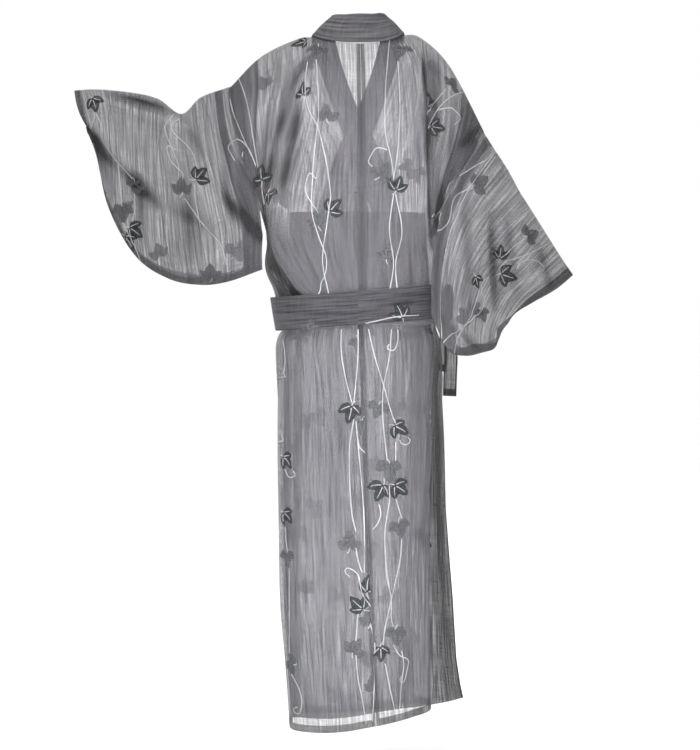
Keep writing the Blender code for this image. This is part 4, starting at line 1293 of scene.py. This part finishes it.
def cloth_noise(tree, flat, across, along, detail=2.0):
    """Noise with so many cells to the metre across and along the warp, spread from 0 to 1."""
    place = node(tree, "ShaderNodeVectorMath", {0: flat, 1: (across, along, 0.0)}, operation="MULTIPLY")
    noise = node(tree, "ShaderNodeTexNoise", {"Vector": place.outputs[0], "Scale": 1.0, "Detail": detail})
    return node(tree, "ShaderNodeMapRange", {0: noise.outputs[0], 1: 0.28, 2: 0.72}).outputs[0]


def toned(tree, pattern, base, spread):
    """A darker and a lighter tone of a colour, mixed by a pattern."""
    dark = tuple(value * (1 - spread) for value in base) + (1.0,)
    light = tuple(min(1.0, value * (1 + spread)) for value in base) + (1.0,)
    return node(tree, "ShaderNodeMix", {0: pattern, 6: dark, 7: light}, data_type="RGBA").outputs[2]


def new_material(name, roughness, specular):
    """The node tree and the shader of a new material."""
    material = bpy.data.materials.new(name)
    material.use_nodes = True
    shader = material.node_tree.nodes["Principled BSDF"]
    shader.inputs["Roughness"].default_value = roughness
    shader.inputs["Specular IOR Level"].default_value = specular
    return material.node_tree, shader


# Streaks of the weave: slubs along the warp, long thick slubs, the weft, and an uneven dye. Each has its
# cells to the metre and its share. A warp streak is 4 mm wide, about ten yarns, so that it shows.
STREAKS = table(
    "across along detail share",
    (250.0, 10.0, 2.0, 0.62), (130.0, 3.0, 3.0, 0.14), (20.0, 300.0, 2.0, 0.18), (9.0, 5.0, 2.0, 0.06))
# Painted shade of the creases: how much darker a valley is, gently and where it is steep, how much lighter a
# crest may be painted, and the darkest painted shade
VALLEY_SHADE_TONE = 0.5
STEEP_SHADE_TONE = 3.2
CREST_LIGHT_TONE = -0.12
DARKEST_SHADE_TONE = 0.18
# How much denser the cloth looks in a thick yarn; as painted shade, denser along a crease's valley and
# thinner along its crest, denser again in the valley alone; and at the rolled edge
STREAK_COVER = 0.5
CREASE_SHADE_COVER = 0.16
VALLEY_SHADE_COVER = 0.62
ROLLED_COVER = 0.3


def woven_material(name, base, single, double, streaks, shade):
    """Slub cloth: uneven yarns along the warp, finer ones across it, denser where doubled; painted shade
    darkens doubled bands and crease valleys and lightens crests.
    """
    tree, shader = new_material(name, 0.88, 0.10)
    shader.inputs["Sheen Weight"].default_value = 0.07
    shader.inputs["Sheen Roughness"].default_value = 0.45
    flat = node(tree, "ShaderNodeUVMap", uv_map=CLOTH_MAP).outputs[0]
    fold = node(tree, "ShaderNodeSeparateXYZ", {0: node(tree, "ShaderNodeUVMap", uv_map=FOLD_MAP).outputs[0]})
    streak = weighed(tree, [(cloth_noise(tree, flat, *row[:3]), row.share) for row in STREAKS])
    # The rolled edge is denser, and painted near black as shade
    doubled, rolled_and_shaded = (
        node(tree, "ShaderNodeMath", {0: fold.outputs[0], 1: past}, operation="GREATER_THAN").outputs[0]
        for past in (0.0, ROLLED_EDGE * MM))
    # The creases' painted shade from the fold map: above 0 in a valley, below 0 on a crest
    slope = node(tree, "ShaderNodeMath", {0: 0.5, 1: fold.outputs[1]}, operation="SUBTRACT").outputs[0]
    size, valley_shade = (node(tree, "ShaderNodeMath", {0: slope, 1: 0.0}, operation=operation).outputs[0]
                    for operation in ("ABSOLUTE", "MAXIMUM"))
    steep_shade = weighed(tree, ((slope, size),))
    # Painted shade: the colour darkens towards the darkest painted shade in valleys, more where steep, in
    # doubled bands and at the rolled edge, and lightens a little on crests
    deep = weighed(tree, ((slope, VALLEY_SHADE_TONE), (steep_shade, STEEP_SHADE_TONE), (doubled, shade), (rolled_and_shaded, 1.0)))
    deep = node(tree, "ShaderNodeClamp", {0: deep, 1: CREST_LIGHT_TONE, 2: 1.0}).outputs[0]
    darkest_shade = tuple(value * DARKEST_SHADE_TONE for value in base) + (1.0,)
    shaded = node(tree, "ShaderNodeMix", {0: deep, 6: toned(tree, streak, base, streaks), 7: darkest_shade},
                  data_type="RGBA", clamp_factor=False)
    tree.links.new(shaded.outputs[2], shader.inputs["Base Color"])
    if single < 1.0:
        # Denser in crease valleys and thinner on crests as painted shade
        cover = weighed(tree, ((doubled, double - single), (streak, -STREAK_COVER), (slope, CREASE_SHADE_COVER),
                               (valley_shade, VALLEY_SHADE_COVER), (rolled_and_shaded, ROLLED_COVER)), single + 0.5 * STREAK_COVER)
        cover = node(tree, "ShaderNodeClamp", {0: cover, 1: 0.05, 2: 1.0})
        tree.links.new(cover.outputs[0], shader.inputs["Alpha"])
    height = weighed(tree, ((streak, 0.6), (doubled, 0.8)))
    bump = node(tree, "ShaderNodeBump", {"Strength": 0.35, "Distance": 0.0004, "Height": height})
    tree.links.new(bump.outputs[0], shader.inputs["Normal"])


def ink_material(name, base, cover, mottled):
    """Matt ink that has soaked in unevenly, so the yarns show through it."""
    tree, shader = new_material(name, 0.85, 0.03)
    flat = node(tree, "ShaderNodeUVMap", uv_map=CLOTH_MAP).outputs[0]
    pattern = weighed(tree, ((cloth_noise(tree, flat, 520.0, 60.0), 0.5),
                             (cloth_noise(tree, flat, 240.0, 240.0, 3.0), 0.5)))
    tree.links.new(toned(tree, pattern, base, mottled), shader.inputs["Base Color"])
    uneven = node(tree, "ShaderNodeClamp", {0: weighed(tree, ((pattern, 0.2),), cover - 0.1)})
    tree.links.new(uneven.outputs[0], shader.inputs["Alpha"])


def plain_material(name, base, roughness, grains):
    """Thread or floor, mottled a little with so many grains to the metre of the object's coordinates."""
    tree, shader = new_material(name, roughness, 0.1)
    place = node(tree, "ShaderNodeTexCoord").outputs["Object"]
    noise = node(tree, "ShaderNodeTexNoise", {"Vector": place, "Scale": grains}).outputs[0]
    tree.links.new(toned(tree, noise, base, 0.03), shader.inputs["Base Color"])


# Stitches

def stitch_tree():
    """Geometry nodes that set small stitches along lines."""
    tree = bpy.data.node_groups.new("running stitch", "GeometryNodeTree")
    face = tree.interface
    face.new_socket("Lines", in_out="INPUT", socket_type="NodeSocketGeometry")
    for label in ("Stitch length", "Spacing", "Thread"):
        face.new_socket(label, in_out="INPUT", socket_type="NodeSocketFloat")
    face.new_socket("Material", in_out="INPUT", socket_type="NodeSocketMaterial")
    face.new_socket("Stitches", in_out="OUTPUT", socket_type="NodeSocketGeometry")
    enter = tree.nodes.new("NodeGroupInput")
    leave = tree.nodes.new("NodeGroupOutput")
    curve = node(tree, "GeometryNodeMeshToCurve", {"Mesh": enter.outputs["Lines"]})
    even = node(tree, "GeometryNodeResampleCurve", {
        "Curve": curve.outputs[0], "Length": enter.outputs["Spacing"]}, mode="LENGTH")
    tangent = node(tree, "GeometryNodeInputTangent")
    turned = node(tree, "FunctionNodeAlignRotationToVector", {"Vector": tangent.outputs[0]}, axis="X")
    size = node(tree, "ShaderNodeCombineXYZ", {0: enter.outputs["Stitch length"], 1: enter.outputs["Thread"],
                                               2: enter.outputs["Thread"]})
    stitch = node(tree, "GeometryNodeMeshCube", {"Size": size.outputs[0]})
    uneven = node(tree, "FunctionNodeRandomValue", {2: 0.8, 3: 1.15, "Seed": 11}, data_type="FLOAT")
    placed = node(tree, "GeometryNodeInstanceOnPoints", {
        "Points": even.outputs[0], "Instance": stitch.outputs[0], "Rotation": turned.outputs[0],
        "Scale": uneven.outputs[1]})
    real = node(tree, "GeometryNodeRealizeInstances", {"Geometry": placed.outputs[0]})
    coloured = node(tree, "GeometryNodeSetMaterial", {"Geometry": real.outputs[0],
                                                      "Material": enter.outputs["Material"]})
    tree.links.new(coloured.outputs[0], leave.inputs[0])
    return tree


def stitched(name, lines, sizes, material):
    """A piece of stitches along lines of points, made plain from the geometry nodes."""
    mesh = bpy.data.meshes.new(name + "_lines")
    vertices, edges = [], []
    for line in lines:
        base = len(vertices)
        vertices.extend((np.asarray(line) * MM).tolist())
        edges.extend([(base + k, base + k + 1) for k in range(len(line) - 1)])
    mesh.from_pydata(vertices, edges, [])
    guide = object_of(name + "_lines", mesh)
    tree = bpy.data.node_groups.get("running stitch") or stitch_tree()
    modifier = guide.modifiers.new("stitches", "NODES")
    modifier.node_group = tree
    values = {"Stitch length": sizes.stitch_length, "Spacing": sizes.stitch_spacing, "Thread": sizes.thread,
              "Material": material}
    for item in tree.interface.items_tree:
        if item.item_type == "SOCKET" and item.in_out == "INPUT" and item.name in values:
            modifier[item.identifier] = values[item.name]
    bpy.context.view_layer.update()
    made = bpy.data.meshes.new_from_object(guide.evaluated_get(bpy.context.evaluated_depsgraph_get()))
    made.name = name
    bpy.data.objects.remove(guide, do_unlink=True)
    if not made.polygons:
        raise RuntimeError(f"{name} has no stitches")
    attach(object_of(name, made), "root")


def line_on(panel, across, first, last):
    """A line along the warp at one place across it."""
    lengths = np.arange(first, last, 6.0)
    return on_cloth(panel, np.stack([np.full(len(lengths), across), lengths], axis=1), STITCH_LIFT)


def row_line(panel, inset):
    """A line across the warp, set in from the panel's far end."""
    across = panel.across[:, 0]
    ends = panel.along[:, -1] - inset
    return on_cloth(panel, np.stack([across, ends], axis=1), STITCH_LIFT)


class KIMONO_OT_materials(bpy.types.Operator):
    """Mix the materials of the cloth, the inks and the thread"""

    bl_idname = "kimono.materials"
    bl_label = "Cloth and inks"

    def execute(self, context):
        colours = context.scene.kimono_colours
        # Sheer slub weave of linen and polyester: a single layer lets two thirds of the light through
        woven_material("sheer slub cloth", tuple(colours.cloth), 0.37, 0.68, 0.8, 0.58)
        # The same weave folded and pressed, for the neckband
        woven_material("folded neckband cloth", tuple(colours.neckband), 1.0, 1.0, 0.95, 0.1)
        # The same weave pressed double, for the belt and waistband
        woven_material("doubled belt cloth", tuple(colours.belt), 1.0, 1.0, 0.95, 0.1)
        # The waistband, double too, and darker still as painted shade where the top covers it
        woven_material("waistband in painted shade", tuple(0.25 * value for value in colours.belt), 1.0, 1.0, 0.8, 0.1)
        # Hanging end of the belt, two sheer layers with a turned edge
        woven_material("tie end cloth", tuple(colours.belt), 0.6, 0.9, 0.8, 0.4)
        # Printed pigment, near black: matt, and the yarns show through it
        ink_material("dark leaf ink", tuple(colours.dark_ink), 0.93, 0.18)
        # Printed pigment, thin grey
        ink_material("grey leaf ink", tuple(colours.grey_ink), 0.85, 0.30)
        # Printed pigment, black lines
        ink_material("black line ink", tuple(colours.black_ink), 0.95, 0.10)
        # Printed discharge white
        ink_material("white vine ink", tuple(colours.white_ink), 0.68, 0.10)
        # Spun polyester thread: matt and a little hairy
        plain_material("sewing thread", tuple(colours.thread), 0.7, 900.0)
        return {"FINISHED"}


class KIMONO_OT_top(bpy.types.Operator):
    """Lay the two body lengths and the front gores of the top"""

    bl_idname = "kimono.top"
    bl_label = "Top"

    def execute(self, context):
        wall = context.scene.kimono_sizes.wall
        for side, word in ((1, "left"), (-1, "right")):
            back, front = body_panels(side)
            gore = overlap_panel(side)
            PANELS.update({f"back_{word}": back, f"front_{word}": front, f"top_overlap_{word}": gore})
            cloth_piece(f"top_body_{word}", (back, front), "sheer slub cloth", wall)
            cloth_piece(f"top_overlap_{word}", (gore,), "sheer slub cloth", wall)
        return {"FINISHED"}


class KIMONO_OT_collar(bpy.types.Operator):
    """Fold the neckband"""

    bl_idname = "kimono.collar"
    bl_label = "Neckband"

    def execute(self, context):
        PANELS["top_collar"] = collar_panel()
        cloth_piece("top_collar", (PANELS["top_collar"],), "folded neckband cloth",
                    context.scene.kimono_sizes.folded_wall, round_edges=True)
        return {"FINISHED"}


class KIMONO_OT_sleeves(bpy.types.Operator):
    """Hang both sleeves"""

    bl_idname = "kimono.sleeves"
    bl_label = "Sleeves"

    def execute(self, context):
        for name, stations, folds, creases, side, tuck in (
                ("sleeve_left", SLEEVE_LEFT, SLEEVE_LEFT_FOLDS, SLEEVE_LEFT_CREASES, 1, 0.0),
                ("sleeve_right", SLEEVE_RIGHT, SLEEVE_RIGHT_FOLDS, SLEEVE_RIGHT_CREASES, -1, SLEEVE_TUCK)):
            PANELS[name] = sleeve_panel(stations, folds, creases, side, tuck)
            cloth_piece(name, (PANELS[name],), "sheer slub cloth", context.scene.kimono_sizes.wall)
        return {"FINISHED"}


class KIMONO_OT_skirt(bpy.types.Operator):
    """Wrap the skirt and its waistband"""

    bl_idname = "kimono.skirt"
    bl_label = "Skirt"

    def execute(self, context):
        PANELS["skirt_waistband"] = waistband_panel()
        cloth_piece("skirt_waistband", (PANELS["skirt_waistband"],), "waistband in painted shade", WAISTBAND_WALL)
        hip = SKIRT_BACK + SKIRT_FRONT
        seam = SEAM_ALLOWANCE
        for part, start, stop, near, over, under in (
                ("back", 0, SKIRT_BACK, CENTRE_ALLOWANCE, seam, seam),
                ("front", SKIRT_BACK, hip, seam, seam, seam),
                ("overlap", hip, SKIRT_HALF, seam, LAP_FACING, UNDERLAP_FACING)):
            for word, first, last, allowances in (("left", start, stop, (near, over)),
                                                  ("right", -stop, -start, (under, near))):
                name = f"skirt_{part}_{word}"
                PANELS[name] = skirt_panel(first, last, allowances)
                cloth_piece(name, (PANELS[name],), "sheer slub cloth", context.scene.kimono_sizes.wall)
        return {"FINISHED"}


class KIMONO_OT_belt(bpy.types.Operator):
    """Tie the belt, its knot and its two ends"""

    bl_idname = "kimono.belt"
    bl_label = "Belt"

    def execute(self, context):
        PANELS["belt"] = belt_panel()
        cloth_piece("belt", (PANELS["belt"],), "doubled belt cloth", context.scene.kimono_sizes.folded_wall,
                    round_edges=True)
        knot_piece()
        for name, edges in TIE_EDGES.items():
            cloth_piece(name, (tie_panel(*edges),), "tie end cloth", TIE_WALL)
        return {"FINISHED"}


class KIMONO_OT_print(bpy.types.Operator):
    """Print the leaves and vines on the cloth"""

    bl_idname = "kimono.print"
    bl_label = "Print"

    def execute(self, context):
        sizes = context.scene.kimono_sizes
        for group, names in SEEN_PANELS.items():
            rise = 0.8 * sizes.folded_wall / MM if group == "belt" else 0.0
            prints = {name: Print(PANELS[name], sizes, rise) for name in names}
            seen_prints(prints, group)
            for name, printed in prints.items():
                if name.startswith("sleeve"):
                    climbing(printed, 31 + len(name), (0.53, 0.98), apart=2.4)
                printed.finish(f"print_{name}")
        for seed, name in enumerate(("front_left", "front_right", "skirt_front_left", "skirt_front_right",
                                     "skirt_overlap_left", "skirt_overlap_right", "top_overlap_left")):
            printed = Print(PANELS[name], sizes)
            climbing(printed, seed + 5, (0.01, 1.0))
            printed.finish(f"print_{name}")
        return {"FINISHED"}


class KIMONO_OT_stitches(bpy.types.Operator):
    """Sew the seams and hems"""

    bl_idname = "kimono.stitches"
    bl_label = "Stitches"

    def execute(self, context):
        sizes = context.scene.kimono_sizes
        thread = bpy.data.materials["sewing thread"]
        top, sleeves, skirt = [], [], []
        for word in ("left", "right"):
            back = PANELS[f"back_{word}"]
            top.append(line_on(back, SEAM_ALLOWANCE, 6, back.along[:, -1].min() - 10))
            for panel in (back, PANELS[f"front_{word}"]):
                seam = panel.across.max() - ARMHOLE_ALLOWANCE
                top.append(line_on(panel, seam, 6, panel.along[-1, -1] - 60))
            bag = PANELS[f"sleeve_{word}"]
            half = 0.5 * bag.along[:, -1]
            last = bag.across.max()
            sleeves.append(line_on(bag, last - HEM, 4, bag.along[-1, -1] - 4))
            for sign in (-1, 1):
                places = np.stack([bag.across[:, 0], half + sign * HEM], axis=1)
                sleeves.append(on_cloth(bag, places[places[:, 0] < last - HEM], STITCH_LIFT))
            for part in ("back", "front", "overlap"):
                panel = PANELS[f"skirt_{part}_{word}"]
                skirt.append(row_line(panel, SKIRT_HEM_FOLD))
                for across in (SEAM_ALLOWANCE, panel.across.max() - SEAM_ALLOWANCE):
                    skirt.append(line_on(panel, across, 20, panel.along[:, -1].min() - 8))
        collar, belt = PANELS["top_collar"], PANELS["belt"]
        rim = []
        belt_top = belt.across.max() - 4.0
        for panel, across, lift in ((collar, 3.0, 1.7), (belt, 4.0, 1.6), (belt, belt_top, 1.6)):
            lengths = panel.along[0]
            places = np.stack([np.full(len(lengths), across), lengths], axis=1)
            rim.append(on_cloth(panel, places, lift))
        for name, lines in (("top", top), ("sleeves", sleeves), ("skirt", skirt), ("folded", rim)):
            stitched(f"stitches_{name}", lines, sizes, thread)
        return {"FINISHED"}


class KIMONO_OT_stage(bpy.types.Operator):
    """Set the floor, the light and the camera"""

    bl_idname = "kimono.stage"
    bl_label = "Stage"

    def execute(self, context):
        scene = context.scene
        room = scene.kimono_room
        # Matt white studio floor
        plain_material("white floor", tuple(scene.kimono_colours.floor), 0.95, 3.0)
        mesh = bpy.data.meshes.new("floor")
        corners = ((-1, -1), (1, -1), (1, 1), (-1, 1))
        mesh.from_pydata([(x * FLOOR_HALF * MM, y * FLOOR_HALF * MM, FLOOR_HEIGHT * MM) for x, y in corners],
                         [], [(0, 1, 2, 3)])
        material_slots(mesh, ("white floor",))
        object_of("floor", mesh)
        world = bpy.data.worlds.new("white room")
        world.use_nodes = True
        tree = world.node_tree
        seen = node(tree, "ShaderNodeLightPath").outputs["Is Camera Ray"]
        tree.nodes["Background"].inputs[0].default_value = (1.0, 1.0, 1.0, 1.0)
        tree.links.new(weighed(tree, ((seen, 1.0 - room.surround),), room.surround),
                       tree.nodes["Background"].inputs[1])
        scene.world = world
        for row, energy in zip(LAMPS, (room.key, room.fill, room.middle)):
            light = bpy.data.lights.new(row.name, "AREA")
            light.shape = "RECTANGLE"
            light.size, light.size_y = row.size
            light.spread = math.radians(row.spread)
            light.energy = energy
            lamp = object_of(row.name, light)
            lamp.location = row.place
            aim = Vector((0.0, 0.0, row.aim)) - lamp.location
            lamp.rotation_euler = aim.to_track_quat("-Z", "Y").to_euler()
        light = bpy.data.lights.new("even light", "SUN")
        light.angle = math.radians(60)
        light.energy = room.floor_sun
        object_of("even light", light).rotation_euler = (math.radians(-22), math.radians(14), 0.0)
        lens = bpy.data.cameras.new("camera")
        lens.lens = CAMERA_LENS
        lens.sensor_width = 36.0
        lens.clip_end = 200.0
        scene.camera = object_of("camera", lens)
        scene.camera.location = Vector(CAMERA_PLACE) * MM
        aim = Vector(CAMERA_LOOKS_AT) * MM - scene.camera.location
        scene.camera.rotation_euler = aim.to_track_quat("-Z", "Y").to_euler()
        scene.view_settings.view_transform = "Standard"
        scene.cycles.transparent_max_bounces = 48
        return {"FINISHED"}


OPERATORS = (KIMONO_OT_materials, KIMONO_OT_top, KIMONO_OT_collar, KIMONO_OT_sleeves, KIMONO_OT_skirt,
             KIMONO_OT_belt, KIMONO_OT_print, KIMONO_OT_stitches, KIMONO_OT_stage)


class KIMONO_PT_panel(bpy.types.Panel):
    """The kimono's sizes, colours and steps"""

    bl_idname = "KIMONO_PT_panel"
    bl_label = "Kimono"
    bl_space_type = "VIEW_3D"
    bl_region_type = "UI"
    bl_category = "Kimono"

    def draw(self, context):
        scene = context.scene
        for group in (scene.kimono_sizes, scene.kimono_colours, scene.kimono_room):
            box = self.layout.box()
            for name in group.__annotations__:
                box.prop(group, name)
        for operator in OPERATORS:
            self.layout.operator(operator.bl_idname)


GROUPS = {"kimono_sizes": KimonoSizes, "kimono_colours": KimonoColours, "kimono_room": KimonoRoom}


def register():
    for group in GROUPS.values():
        bpy.utils.register_class(group)
    for operator in OPERATORS:
        bpy.utils.register_class(operator)
    bpy.utils.register_class(KIMONO_PT_panel)
    for name, group in GROUPS.items():
        setattr(bpy.types.Scene, name, bpy.props.PointerProperty(type=group))


def unregister():
    for name in GROUPS:
        delattr(bpy.types.Scene, name)
    bpy.utils.unregister_class(KIMONO_PT_panel)
    for operator in reversed(OPERATORS):
        bpy.utils.unregister_class(operator)
    for group in reversed(GROUPS.values()):
        bpy.utils.unregister_class(group)


def main():
    """Makes the kimono and its stage."""
    register()
    bpy.ops.kimono.materials()
    bpy.ops.kimono.top()
    bpy.ops.kimono.collar()
    bpy.ops.kimono.sleeves()
    bpy.ops.kimono.skirt()
    bpy.ops.kimono.belt()
    bpy.ops.kimono.print()
    bpy.ops.kimono.stitches()
    bpy.ops.kimono.stage()


if __name__ == "__main__":
    main()
